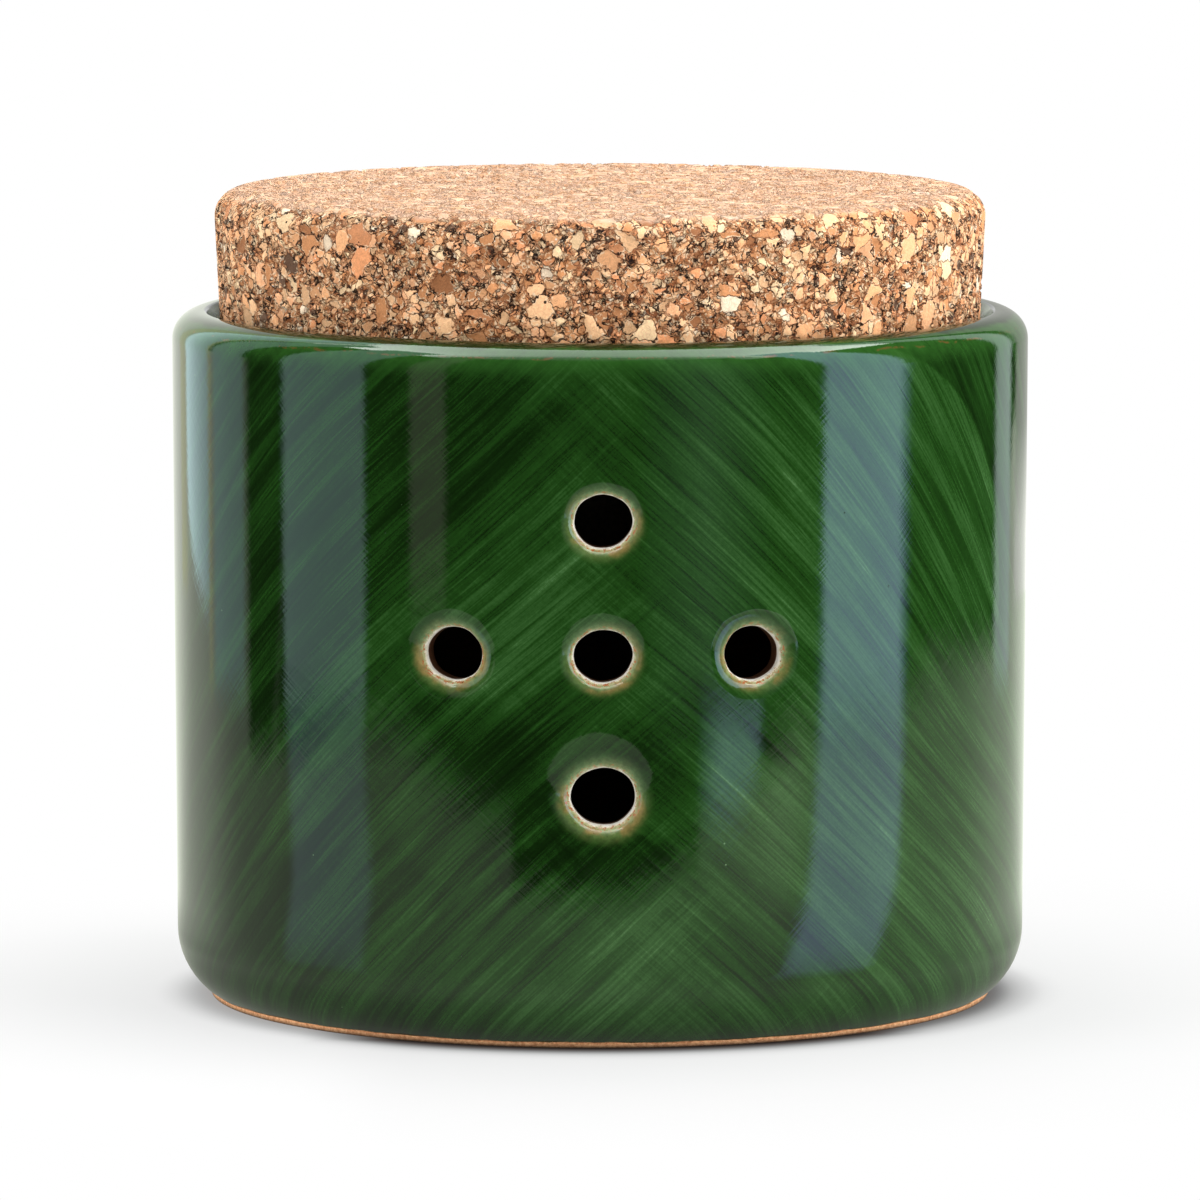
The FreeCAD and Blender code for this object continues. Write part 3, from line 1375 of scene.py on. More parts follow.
class Finish:
    """A material being made, with its Principled shader."""

    def __init__(self, name: str) -> None:
        """Start the material.

        Args:
            name: The material's name.
        """
        self.material, self.graph = blank_material(name)
        self.shader = self.graph.node("ShaderNodeBsdfPrincipled")
        self.graph.node("ShaderNodeOutputMaterial", {"Surface": self.shader.outputs[0]})

    def place(self) -> Socket:
        """Object coordinates in millimetres."""
        spot = self.graph.node("ShaderNodeTexCoord").outputs["Object"]
        return self.graph.scaled(spot, PER_MM)

    def number(self, name: str) -> Socket:
        """A number stored on the piece."""
        node = self.graph.node("ShaderNodeAttribute", attribute_name=name)
        return node.outputs["Fac"]

    def set(self, **inputs: object) -> None:
        """Set or link the shader's inputs, with underscores for spaces in their names."""
        for name, value in inputs.items():
            self.graph.feed(self.shader.inputs[name.replace("_", " ")], value)

    def bump(self, height: Socket, distance: float, strength: float = 1.0) -> None:
        """Drive the shader's normal by a height.

        Args:
            height: The height, in units of the distance.
            distance: Metres for a height of 1.
            strength: How much of the bump is used.
        """
        inputs = {"Strength": strength, "Distance": distance, "Height": height}
        self.set(Normal=self.graph.node("ShaderNodeBump", inputs).outputs[0])


@dataclass(frozen=True)
class Patch:
    """A lighter or darker patch of glaze: its middle and half sizes in millimetres."""

    around: float
    height: float
    length: float
    width: float
    degrees: float
    amount: float


@dataclass(frozen=True)
class Surface:
    """Where on the jar a shader works: sockets in millimetres, and the graph that has them.

    Left and right are distances round the jar from the front towards +X. The seam of left is
    on the right side, and the seam of right on the left side.
    """

    g: Graph
    place: Socket
    x: Socket
    y: Socket
    z: Socket
    left: Socket
    right: Socket


@dataclass(frozen=True)
class GreenGlaze:
    """Glossy green glaze brushed on in two directions, thin at the edges, over tan clay."""

    radius: float = 62.3
    left_degrees: float = -43.0
    right_degrees: float = 41.0
    bend_start: float = 14.0
    bend: float = 0.0045
    gloss: float = 0.022
    line_height: float = 0.85
    lap_centre: float = 35.0
    lap_height: float = 62.0
    lap_radius: float = 38.0
    lap_width: float = 20.0

    TONES = [
        (0.0, color(6, 19, 3)),
        (0.28, color(13, 36, 7)),
        (0.52, color(28, 64, 19)),
        (0.74, color(51, 90, 42)),
        (0.90, color(86, 124, 77)),
        (1.0, color(124, 158, 114)),
    ]
    # colours of the rims from the bore's edge outwards: the near-white first stops are partly bare clay
    # and partly a painted highlight
    RIM_ABOVE = [
        (0.0, color(255, 250, 236)),
        (0.06, color(226, 224, 196)),
        (0.12, color(164, 172, 130)),
        (0.24, color(112, 134, 90)),
        (0.45, color(78, 104, 62)),
        (0.75, color(56, 84, 44)),
        (1.0, color(42, 70, 30)),
    ]
    RIM_BELOW = [
        (0.0, color(255, 253, 244)),
        (0.07, color(252, 242, 218)),
        (0.12, color(196, 190, 146)),
        (0.23, color(140, 150, 98)),
        (0.42, color(98, 118, 66)),
        (0.7, color(80, 102, 52)),
        (1.0, color(52, 80, 32)),
    ]
    # around, height, length, width, degrees, amount
    PATCHES = [
        Patch(-12.0, 60.0, 26.0, 12.0, 45.0, 0.12),
        Patch(-36.0, 50.0, 22.0, 12.0, 45.0, 0.13),
        Patch(-17.0, 84.0, 26.0, 11.0, 45.0, -0.07),
        Patch(24.3, 46.0, 8.5, 4.2, -55.0, -0.24),
        Patch(-17.0, 43.5, 20.0, 7.5, -40.0, -0.13),
        Patch(-24.0, 29.0, 16.0, 6.0, -40.0, 0.06),
        Patch(6.0, 40.0, 22.0, 8.0, 45.0, -0.10),
        Patch(-11.0, 27.0, 9.0, 3.6, 38.0, -0.2),
        Patch(1.0, 27.0, 11.0, 4.5, 10.0, -0.22),
        Patch(21.0, 35.0, 18.0, 9.0, -45.0, 0.08),
        Patch(9.0, 27.0, 8.0, 6.0, -45.0, -0.09),
        Patch(40.0, 30.0, 34.0, 20.0, -45.0, 0.05),
        Patch(24.0, 14.0, 17.0, 9.0, 0.0, -0.10),
        Patch(-2.0, 13.0, 14.0, 8.0, 0.0, -0.06),
    ]
    RIM_REACH = 2.2
    WORN = color(178, 98, 56)
    STAIN = color(168, 124, 76)
    PIT = color(92, 46, 24)
    LIP = color(44, 88, 32)
    # painted shade on the lip's crest, beside the stopper
    CREST_SHADE = color(8, 32, 4)
    BREAK = color(104, 74, 40)
    CLAY = color(212, 164, 120)
    CLAY_DARK = color(164, 110, 72)
    # the inside and the bores' clay, darker than the outside clay partly as painted shade
    INSIDE = color(92, 58, 36)
    INSIDE_DARK = color(62, 36, 20)

    def material(self, speckle: Speckle, stroke: Group, patch: Group) -> bpy.types.Material:
        """Make the material.

        Args:
            speckle: The group of scattered spots.
            stroke: The group of brush strokes.
            patch: The group of a soft patch.

        Returns:
            The finished material.
        """
        finish = Finish("green_glaze_brushed")
        at = self.surface(finish)
        g = at.g
        place = at.place
        distance = finish.number("rim_distance")
        rising = stroke.place(g, {"Around": at.left, "Height": at.z, "Seed": 1.0,
                                  "Angle": math.radians(self.left_degrees)})
        past = g.most(g.minus(at.right, self.bend_start), 0.0)
        bend = g.times(past, past, g.remap(at.z, 15.0, 60.0, 0.0, self.bend))
        falling = stroke.place(g, {"Around": at.right, "Height": g.plus(at.z, bend), "Seed": 2.0,
                                   "Angle": math.radians(self.right_degrees)})
        tone = self.tone(at, rising, falling)
        tone = self.patched(at, tone, patch, falling.outputs["Fray"])
        base = g.ramp(tone, self.TONES)
        specks = speckle.spots(g, place, 4.2, 0.17, 0.35)
        base = g.mix(g.times(specks, 0.5), base, self.TONES[-1][1])
        pits = speckle.spots(g, g.vector("ADD", place, (31.0, 17.0, 5.0)), 5.0, 0.16, 0.4)
        base = g.mix(g.times(pits, 0.7), base, self.TONES[0][1])
        base = self.worn_lip_and_crest_shade(at, base)
        base = self.worn_rims_and_highlight(at, base, distance, finish.number("rim_fall"), speckle)
        inside = self.inside_mask(at, distance)
        foot = self.foot_mask(at)
        grain = g.cloud(place, 1.6, 5.0, 0.7)
        clay = g.mix(g.remap(grain, 0.3, 0.7), self.CLAY_DARK, self.CLAY)
        # painted light: the bare clay band gets a painted highlight along its top and painted shade
        # that darkens it towards the floor
        clay = g.scaled(clay, g.remap(at.z, 0.1, 0.75, 0.32, 2.1, False))
        # the inside and the bores get darker clay, partly painted shade
        dark_inside = g.mix(g.remap(grain, 0.3, 0.7), self.INSIDE_DARK, self.INSIDE)
        clay = g.mix(inside, clay, dark_inside)
        rough = g.most(g.between(foot, self.gloss, 0.8), g.times(inside, 0.35),
                       g.remap(distance, -0.1, 0.4, 0.5, 0.0))
        base = g.mix(g.most(inside, foot), base, clay)
        finish.set(Base_Color=base, IOR=1.5, Roughness=rough)
        brushed = g.times(g.plus(rising.outputs["Fibre"], falling.outputs["Fibre"]), 0.0035)
        slow = g.times(g.cloud(place, 0.22, 2.0, 0.5), 0.008)
        grainy = g.times(grain, foot, 0.25)
        pitted = g.times(pits, -0.05)
        finish.bump(g.plus(brushed, slow, grainy, pitted), MM)
        return finish.material

    def surface(self, finish: Finish) -> Surface:
        """Add the sockets that say where on the jar the shader works.

        Args:
            finish: The material being made.

        Returns:
            The sockets.
        """
        g = finish.graph
        place = finish.place()
        x, y, z = g.split(place)
        left = g.minus(g.math("ARCTAN2", g.times(y, -1.0), g.times(x, -1.0)), math.pi / 2)
        right = g.plus(g.math("ARCTAN2", y, x), math.pi / 2)
        return Surface(g, place, x, y, z, g.times(left, self.radius), g.times(right, self.radius))

    def tone(self, at: Surface, rising: bpy.types.Node, falling: bpy.types.Node) -> Socket:
        """How light the glaze is, from 0 to 1.

        Args:
            at: Where on the jar.
            rising: Strokes of the left half, which rise to the right.
            falling: Strokes of the right half, which fall to the right.

        Returns:
            The tone.
        """
        g = at.g
        thin_places = g.cloud(g.join(at.right, at.z, 9.0), 0.045, 2.0, 0.5)
        thin_places = g.remap(thin_places, 0.46, 0.62, 0.05, 0.6)
        thin_places = g.times(thin_places, g.remap(at.z, 40.0, 70.0, 1.0, 0.4))
        layers = []
        crossings = []
        for strokes in (rising, falling):
            band = g.times(strokes.outputs["Band"], 0.20)
            fibre = g.times(strokes.outputs["Fibre"], 0.33)
            hair = g.times(strokes.outputs["Hair"], 0.09)
            layers.append(g.plus(band, fibre, hair))
            crossing = g.most(g.plus(g.minus(fibre, 0.2), g.times(hair, 0.8)), 0.0)
            crossings.append(g.times(crossing, thin_places))
        fray = g.remap(rising.outputs["Fray"], 0.3, 0.7, -6.0, 6.0, False)
        meeting = g.plus(g.remap(at.z, 20.0, 100.0, 12.0, -4.0, False), fray)
        front = g.remap(g.minus(at.left, meeting), -12.0, 10.0, 1.0, 0.0)
        back = g.remap(g.minus(g.plus(at.left, fray), -math.pi * self.radius), -6.0, 6.0)
        on_left = g.times(front, back)
        tone = g.plus(
            g.between(on_left, layers[1], layers[0]),
            g.between(on_left, crossings[0], crossings[1]),
            g.spread(g.join(at.right, at.z, 3.0), 0.05, 2.0, 0.5, -0.06, 0.06),
            g.remap(at.right, -60.0, 20.0, 0.035, 0.245),
            g.spread(g.join(at.right, at.z, 6.0), 2.6, 3.0, 0.7, -0.05, 0.05),
        )
        tone = self.low_patch(at, tone, fray)
        return g.most(self.curved_lap(at, tone), 0.0)

    def patched(self, at: Surface, tone: Socket, patch: Group, fray: Socket) -> Socket:
        """Lay the lighter and darker patches over the tone.

        Args:
            at: Where on the jar.
            tone: The tone so far.
            patch: The group of a soft patch.
            fray: The strokes' uneven edge.

        Returns:
            The tone.
        """
        g = at.g
        fray = g.remap(fray, 0.3, 0.7, -0.2, 0.2, False)
        for spot in self.PATCHES:
            mask = patch.place(g, {
                "Around": g.minus(at.left if spot.around < 0 else at.right, spot.around),
                "Height": g.minus(at.z, spot.height),
                "Length": spot.length,
                "Width": spot.width,
                "Angle": -math.radians(spot.degrees),
                "Fray": fray,
            }).outputs[0]
            tone = g.plus(tone, g.times(mask, spot.amount))
        return g.most(tone, 0.0)

    def low_patch(self, at: Surface, tone: Socket, fray: Socket) -> Socket:
        """A lighter patch above the foot, left of the middle, where the two layers overlap.

        Args:
            at: Where on the jar.
            tone: The tone so far.
            fray: The strokes' uneven edge.

        Returns:
            The tone.
        """
        g = at.g
        edge = g.plus(g.remap(at.z, 0.0, 24.0, -21.0, 4.5, False), g.times(fray, 0.25))
        past_edge = g.remap(g.minus(at.left, edge), -0.6, 0.8)
        fades = (g.remap(at.left, 4.0, 22.0, 1.0, 0.0), g.remap(at.z, 16.0, 23.0, 1.0, 0.0))
        return g.plus(tone, g.times(past_edge, *fades, 0.13))

    def curved_lap(self, at: Surface, tone: Socket) -> Socket:
        """One broad stroke that curves down the right side and darkens beyond its edge.

        Args:
            at: Where on the jar.
            tone: The tone so far.

        Returns:
            The tone.
        """
        g = at.g
        edge = self.lap_radius
        x = g.minus(at.right, self.lap_centre)
        y = g.minus(at.z, self.lap_height)
        reach = g.length(x, y)
        upper = g.times(g.remap(g.math("ARCTAN2", y, x), -0.35, 0.05), g.remap(x, 0.0, 12.0))
        within = g.band(reach, (edge - self.lap_width, edge - 3.0), (edge - 0.35, edge + 0.35))
        beyond = g.band(reach, (edge - 0.3, edge + 0.3), (edge + 6.0, edge + 20.0))
        step = g.minus(g.times(within, 0.07), g.times(beyond, 0.14))
        return g.plus(tone, g.times(step, upper))

    def worn_lip_and_crest_shade(self, at: Surface, base: Socket) -> Socket:
        """Thin the glaze over the lip, with brown breaks along its outer shoulder and painted shade
        darkening its crest beside the stopper.

        Args:
            at: Where on the jar.
            base: The colour so far.

        Returns:
            The colour.
        """
        g = at.g
        level = g.plus(at.z, g.spread(at.place, 0.16, 3.0, 0.6, -0.3, 0.3))
        thin = g.remap(level, 95.0, 99.0, 0.0, 0.75)
        mottle = g.spread(at.place, 0.5, 3.0, 0.6, 0.55, 1.2)
        base = g.mix(g.times(thin, mottle), base, self.LIP)
        # painted shade: the crest beside the stopper is darkened almost to black
        base = g.mix(g.remap(level, 99.6, 100.1, 0.0, 0.9), base, self.CREST_SHADE)
        line = g.remap(g.math("ABSOLUTE", g.minus(level, 98.6)), 0.03, 0.22, 1.0, 0.0)
        broken = g.remap(g.cloud(at.place, 0.35, 4.0, 0.7), 0.50, 0.60)
        return g.mix(g.times(line, broken, 0.7), base, self.BREAK)

    def worn_rims_and_highlight(self, at: Surface, base: Socket, distance: Socket, fall: Socket,
                  speckle: Speckle) -> Socket:
        """Thin the glaze round the vents to a cream edge with orange breaks; the near-white inner edge
        is partly bare clay and partly a painted highlight.

        Args:
            at: Where on the jar.
            base: The colour so far.
            distance: How far outside the vents' edges, in millimetres.
            fall: 1 below a vent, -1 above it.
            speckle: The group of scattered spots.

        Returns:
            The colour.
        """
        g = at.g
        place = at.place
        level = g.plus(distance, g.spread(place, 0.9, 4.0, 0.65, -0.14, 0.14))
        below = g.remap(fall, -0.45, 0.6)
        share = g.over(level, self.RIM_REACH)
        # the rims' thinned glaze, whose near-white edge is partly a painted highlight
        washed_and_lit = g.mix(below, g.ramp(share, self.RIM_ABOVE), g.ramp(share, self.RIM_BELOW))
        stain = g.remap(g.cloud(place, 0.28, 2.0), 0.46, 0.6, 0.0, 0.55)
        near = g.times(g.band(level, (0.25, 0.6), (0.8, 2.0)), g.remap(fall, -0.8, 0.5, 0.15, 1.0))
        washed_and_lit = g.mix(g.times(stain, near), washed_and_lit, self.STAIN)
        streaks = g.spread(place, 1.3, 3.0, 0.65, 0.78, 1.22)
        streaks = g.between(g.remap(level, 0.1, 0.5), 1.0, streaks)
        washed_and_lit = g.vector("MULTIPLY", washed_and_lit, g.join(streaks, streaks, streaks))
        fade = g.remap(level, 0.3, g.between(below, 2.4, 2.7), 1.0, 0.0)
        base = g.mix(fade, base, washed_and_lit)
        spots = g.remap(g.cloud(place, 1.9, 3.0, 0.7), 0.535, 0.575)
        orange = g.band(level, (0.08, 0.2), (0.45, 0.8))
        orange = g.times(orange, spots, g.remap(fall, -1.0, 0.3, 0.5, 0.95))
        base = g.mix(orange, base, self.WORN)
        pits = speckle.spots(g, place, 0.8, 0.17, 0.35)
        ring = g.times(g.band(level, (0.12, 0.25), (0.8, 1.2)), g.remap(fall, -0.6, 0.3, 0.2, 0.9))
        return g.mix(g.times(pits, ring), base, self.PIT)

    def inside_mask(self, at: Surface, distance: Socket) -> Socket:
        """1 on the jar's inside and down the vents' bores.

        Args:
            at: Where on the jar.
            distance: How far outside the vents' edges, in millimetres.

        Returns:
            The mask.
        """
        g = at.g
        within = g.remap(g.length(at.x, at.y), 57.2, 57.9, 1.0, 0.0)
        within = g.times(within, g.band(at.z, (2.5, 3.0), (96.0, 97.0)))
        return g.most(within, g.remap(distance, -0.5, -0.2, 1.0, 0.0))

    def foot_mask(self, at: Surface) -> Socket:
        """1 on the bare clay below the glaze line."""
        level = at.g.plus(at.z, at.g.spread(at.place, 0.22, 3.0, 0.6, -0.12, 0.12))
        return at.g.remap(level, self.line_height - 0.05, self.line_height + 0.05, 1.0, 0.0)


@dataclass(frozen=True)
class CorkGrain:
    """Pressed cork: tan grains of mixed size, with crevices and pits darkened by painted shade."""

    grains: GrainSizes = GrainSizes()
    relief: float = 0.24
    level: float = 0.75
    deepest: float = 1.8
    top: float = 118.0

    SHADES = [
        (0.0, color(108, 78, 58)),
        (0.03, color(182, 120, 76)),
        (0.10, color(222, 153, 101)),
        (0.26, color(243, 179, 127)),
        (0.46, color(252, 199, 149)),
        (0.64, color(247, 183, 134)),
        (0.80, color(230, 156, 106)),
        (0.90, color(255, 216, 168)),
        (0.97, color(255, 230, 198)),
    ]
    # painted shade in the crevices and the pits, and partly in the shallow gaps
    CREVICE_SHADE = color(34, 14, 6)
    SHALLOW = color(156, 82, 38)
    PIT = color(22, 11, 6)
    GLINT = color(255, 240, 220)
    # painted highlight along the grains' edges
    RIM_HIGHLIGHT = color(252, 222, 184)
    FLECK = color(146, 82, 42)
    # the top's colours: paler than the side, partly as painted light from above
    TOP_TINT = color(227, 192, 167)
    TOP_DARK = color(207, 159, 123)

    def raise_grains(self) -> Group:
        """The geometry group that sinks the gaps and the low grains on the stopper's surface.

        Returns:
            The node group.
        """
        inputs = {"Mesh": Kind.MESH, "Relief": Kind.NUMBER, "Finish": Kind.MATERIAL}
        group = Group("Raise cork grains", inputs, {"Mesh": Kind.MESH}, "GeometryNodeTree")
        graph = group.graph
        spot = graph.node("GeometryNodeInputPosition").outputs[0]
        place = graph.scaled(spot, PER_MM)
        grains = add_grains(graph, place, self.grains)
        kept = graph.node("GeometryNodeStoreNamedAttribute",
                          {"Geometry": group.given["Mesh"], "Name": "grain_place", "Value": place},
                          data_type="FLOAT_VECTOR", domain="POINT").outputs[0]
        sunk = graph.most(graph.least(graph.minus(grains.raised, self.level), 0.0), -self.deepest)
        amount = graph.times(sunk, group.given["Relief"])
        normal = graph.node("GeometryNodeInputNormal").outputs[0]
        offset = graph.scaled(normal, amount)
        moved = graph.node("GeometryNodeSetPosition", {"Geometry": kept, "Offset": offset}).outputs[0]
        real = graph.node("GeometryNodeRealizeInstances", {0: moved}).outputs[0]
        dressed = graph.node("GeometryNodeSetMaterial",
                             {"Geometry": real, "Material": group.given["Finish"]}).outputs[0]
        graph.feed(group.result["Mesh"], dressed)
        return group

    def material(self, speckle: Speckle) -> bpy.types.Material:
        """Make the material.

        Args:
            speckle: The group of scattered spots.

        Returns:
            The finished material.
        """
        finish = Finish("pressed_cork")
        g = finish.graph
        node = g.node("ShaderNodeAttribute", attribute_name="grain_place")
        place = node.outputs["Vector"]
        grains = add_grains(g, place, self.grains)
        z = g.split(place)[2]
        upper = g.remap(z, self.top - 1.0, self.top - 0.15)
        base = g.ramp(grains.chance, self.SHADES, steps=True)
        mottle = g.cloud(place, 1.5, 5.0, 0.75, 1.6)
        mottle = g.remap(mottle, 0.3, 0.7, 0.68, 1.22, False)
        own = g.remap(grains.shade, 0.0, 1.0, 0.9, 1.1, False)
        # painted shade: each grain is lighter on one side and darker on the other, as if faceted and
        # lit
        facet_shade = g.remap(grains.tilt, -0.5, 0.5, 0.84, 1.2)
        mottle = g.times(mottle, own, facet_shade)
        base = g.vector("MULTIPLY", base, g.join(mottle, mottle, mottle))
        chips = g.cloud(g.vector("ADD", place, (3.0, 8.0, 1.0)), 0.9, 3.0, 0.7)
        # painted highlight: a pale band just inside some grains' edges
        lit = g.band(grains.edge, (0.05, 0.13), (0.16, 0.3))
        lit = g.times(lit, g.remap(chips, 0.48, 0.6, 0.0, 0.85))
        base = g.mix(lit, base, self.RIM_HIGHLIGHT)
        depth = g.cloud(place, 0.9, 3.0, 0.7)
        side = g.minus(1.0, upper)
        # the shallow gaps' orange-brown is partly the cork's own colour and partly painted shade
        shallow = g.times(g.remap(grains.edge, 0.02, 0.12, 0.7, 0.0), g.remap(chips, 0.58, 0.42))
        base = g.mix(g.times(shallow, g.remap(side, 0.0, 1.0, 0.3, 1.0)), base, self.SHALLOW)
        # painted shade: the deep crevices are darkened almost to black
        width = g.remap(depth, 0.5, 0.68, 0.03, 0.28, False)
        crevice = g.times(g.remap(grains.edge, 0.0, width, 1.0, 0.0), g.remap(depth, 0.45, 0.55),
                          g.remap(side, 0.0, 1.0, 0.1, 1.0))
        base = g.mix(crevice, base, self.CREVICE_SHADE)
        # painted shade: the pits on the side are darkened almost to black
        pits = speckle.spots(g, place, 1.2, 0.26, 0.26)
        pit_shade = g.times(pits, g.times(side, 0.95))
        base = g.mix(pit_shade, base, self.PIT)
        glints = speckle.spots(g, g.vector("ADD", place, (9.0, 4.0, 7.0)), 1.1, 0.2, 0.24)
        base = g.mix(g.times(glints, 0.8), base, self.GLINT)
        # the top is paler, partly as painted light from above
        patches = g.remap(g.cloud(place, 0.5, 3.0, 0.6), 0.42, 0.62)
        paler_lit_top = g.mix(patches, self.TOP_TINT, self.TOP_DARK)
        base = g.mix(g.times(upper, 0.64), base, paler_lit_top)
        flecks = speckle.spots(g, g.vector("ADD", place, (2.0, 6.0, 1.0)), 1.7, 0.42, 0.3)
        bitten = g.remap(g.cloud(place, 1.8, 3.0, 0.7), 0.44, 0.52)
        flecks = g.times(flecks, g.times(bitten, upper))
        base = g.mix(flecks, base, self.FLECK)
        finish.set(Base_Color=base, Roughness=0.82, IOR=1.35)
        fine = g.times(g.cloud(place, 3.4, 3.0, 0.7), 0.35)
        height = g.minus(g.plus(grains.raised, fine), g.times(pits, 0.8))
        finish.bump(height, self.relief * MM)
        return finish.material


# Studio


@dataclass(frozen=True)
class Card:
    """A lit panel that stands round the object and shows only in its gloss.

    The start and end are the angles round the jar, in degrees from the front towards +X, where
    the gloss shows its edges. An edge may curve to another angle at its foot, foot_start or
    foot_end, mostly within the height foot_rise. The heights and the distance from the axis are
    in metres. Soft and soft_end are the shares of its width over which it brightens from its
    start and dims to its end. A fade is the heights between which it dims, and how bright it is
    above them. Falls is the share of its brightness that it loses from its start to its end.
    """

    name: str
    start: float
    end: float
    low: float
    high: float
    shade: tuple[float, float, float]
    strength: float
    distance: float = 0.42
    foot_start: float | None = None
    foot_end: float | None = None
    foot_rise: float = 0.01
    soft: float = 0.0
    soft_end: float = 0.0
    fade: tuple[float, float, float] | None = None
    falls: float = 0.0


@dataclass(frozen=True)
class Lamp:
    """A soft lamp: its place and size in metres, and its power in watts."""

    name: str
    place: tuple[float, float, float]
    size: float
    power: float


class Studio:
    """A white floor and background, soft lamps, reflecting panels and the camera."""

    # the camera: metres, degrees, and millimetres for its lens and sensor
    CAMERA_DISTANCE = 1.5514
    CAMERA_HEIGHT = 0.2316
    CAMERA_DOWN = 6.40
    CAMERA_SIDE = -0.43
    LENS = 319.7
    SENSOR = 36.0

    # the light from all round, what the gloss shows far away, and the height the lamps aim at
    WORLD_LIGHT = 0.6
    WORLD_GLOSS = (0.02, 0.9)
    LAMPS_AIM = 0.05

    # the floor's half width and paleness, and the table that the gloss shows, in metres
    FLOOR_REACH = 6.0
    FLOOR_PALE = 0.74
    TABLE_FRONT = 0.262
    TABLE_HALF_WIDTH = 0.40
    TABLE_SHIFT = 0.05

    # the panels' points, and the radius at which the gloss shows them
    JAR_RADIUS = 0.0623
    CARD_COLUMNS = 17
    CARD_ROWS = 9
    FOOT_ROWS = 16
    FOOT_REACH = 5

    # the canopy's size in metres and its light, then how far back each row is and how bright
    CANOPY_HEIGHT = 1.0
    CANOPY_HALF_WIDTH = 0.7
    CANOPY_COLUMNS = 15
    CANOPY_SIDES = 1.6
    CANOPY_SHADE = (0.93, 1.0, 0.94)
    CANOPY_STRENGTH = 4.2
    CANOPY_LEVELS = ((-0.62, 0.15), (-0.46, 0.25), (-0.36, 0.75), (-0.25, 1.0), (0.3, 1.0), (0.5, 0.6))

    # name, start, end, low, high, shade, strength, distance
    CARDS = [
        Card("panel_left", -46.7, -32.7, 0.0, 0.75, (0.68, 0.97, 0.97), 1.45),
        Card("panel_left_rear", -63.2, -55.2, 0.0, 0.75, (0.72, 0.99, 0.98), 1.0),
        Card("edge_left_rear", -64.9, -64.1, 0.0, 0.75, (1.0, 1.0, 0.65), 1.15),
        Card("panel_left_side", -73.7, -64.9, 0.0, 0.9, (0.74, 0.98, 1.0), 2.35, 0.54,
             foot_start=-64.9, foot_rise=0.0075, falls=0.42),
        Card("edge_left_side", -77.0, -73.8, 0.0, 0.9, (1.0, 1.0, 0.72), 1.05, 0.56),
        Card("panel_left_faint", -25.9, -20.9, 0.02, 0.6, (1.0, 1.0, 0.82), 0.5),
        Card("panel_right", 30.2, 43.0, 0.0, 0.75, (0.53, 0.745, 1.0), 3.64),
        Card("panel_right_rear", 65.4, 71.3, 0.0, 0.75, (0.86, 1.0, 0.98), 1.25),
        Card("panel_right_low", 12.3, 21.5, -0.002, 0.018, (0.62, 0.86, 1.12), 1.85, 0.30,
             foot_end=14.5, foot_rise=0.005, soft=0.4),
        Card("panel_front_faint", 4.0, 23.0, 0.0, 0.6, (0.75, 1.0, 0.85), 0.38, soft=0.5,
             soft_end=0.5),
        Card("sweep_left", -89.5, -77.1, 0.0, 0.9, (0.97, 1.0, 0.9), 1.1, 0.56),
        Card("sweep_right", 73.9, 89.5, 0.0, 0.9, (1.0, 1.0, 0.94), 1.25, 0.54,
             fade=(0.012, 0.034, 0.45)),
    ]
    LAMPS = [
        Lamp("lamp_over", (0.05, 0.25, 1.3), 1.3, 14.0),
        Lamp("lamp_right", (1.2, -0.4, 0.5), 1.5, 20.5),
        Lamp("lamp_left", (-1.2, -0.4, 0.5), 0.8, 6.0),
    ]

    def build(self) -> None:
        """Make the whole studio."""
        self.add_camera()
        self.add_world()
        self.add_floor()
        for lamp in self.LAMPS:
            self.add_lamp(lamp)
        for card in self.CARDS:
            self.add_card(card)
        self.add_canopy()
        bpy.context.scene.view_settings.view_transform = "Standard"

    def add_camera(self) -> None:
        """Aim the camera at the jar from slightly to its left."""
        camera = bpy.data.cameras.new("camera")
        camera.lens = self.LENS
        camera.sensor_width = self.SENSOR
        camera.clip_end = 50.0
        made = put("camera", camera)
        spot = on_circle(self.CAMERA_DISTANCE, self.CAMERA_SIDE)
        made.location = (*spot, self.CAMERA_HEIGHT)
        made.rotation_euler = (math.radians(90 - self.CAMERA_DOWN), 0, math.radians(self.CAMERA_SIDE))
        bpy.context.scene.camera = made

    def add_world(self) -> None:
        """White where the camera looks, soft grey light, and white behind in the gloss."""
        world = bpy.data.worlds.new("studio")
        world.use_nodes = True
        world.node_tree.nodes.clear()
        g = Graph(world.node_tree)
        way = g.node("ShaderNodeTexCoord").outputs["Generated"]
        _, back, up = g.split(way)
        lit = g.most(g.remap(back, 0.8, 0.95), g.remap(up, 0.75, 0.95))
        gloss = g.between(lit, *self.WORLD_GLOSS)
        rays = g.node("ShaderNodeLightPath").outputs
        strength = g.between(rays["Is Glossy Ray"], self.WORLD_LIGHT, gloss)
        shown = g.most(rays["Is Camera Ray"], rays["Is Transmission Ray"])
        strength = g.between(shown, strength, 1.0)
        inputs = {"Color": (1.0, 1.0, 1.0, 1.0), "Strength": strength}
        background = g.node("ShaderNodeBackground", inputs)
        g.node("ShaderNodeOutputWorld", {0: background.outputs[0]})
        bpy.context.scene.world = world

    def add_floor(self) -> None:
        """A white floor that keeps the soft shadow, darkened round the jar's foot by a painted contact
        shadow, and melts into the background.
        """
        mesh = bpy.data.meshes.new("floor")
        far = self.FLOOR_REACH
        corners = [(-far, -far, 0), (far, -far, 0), (far, far, 0), (-far, far, 0)]
        mesh.from_pydata(corners, [], [(0, 1, 2, 3)])
        floor = put("floor", mesh)
        material, g = blank_material("white_floor")
        spot = g.node("ShaderNodeTexCoord").outputs["Object"]
        x, y, _ = g.split(spot)
        reach = g.length(x, y)
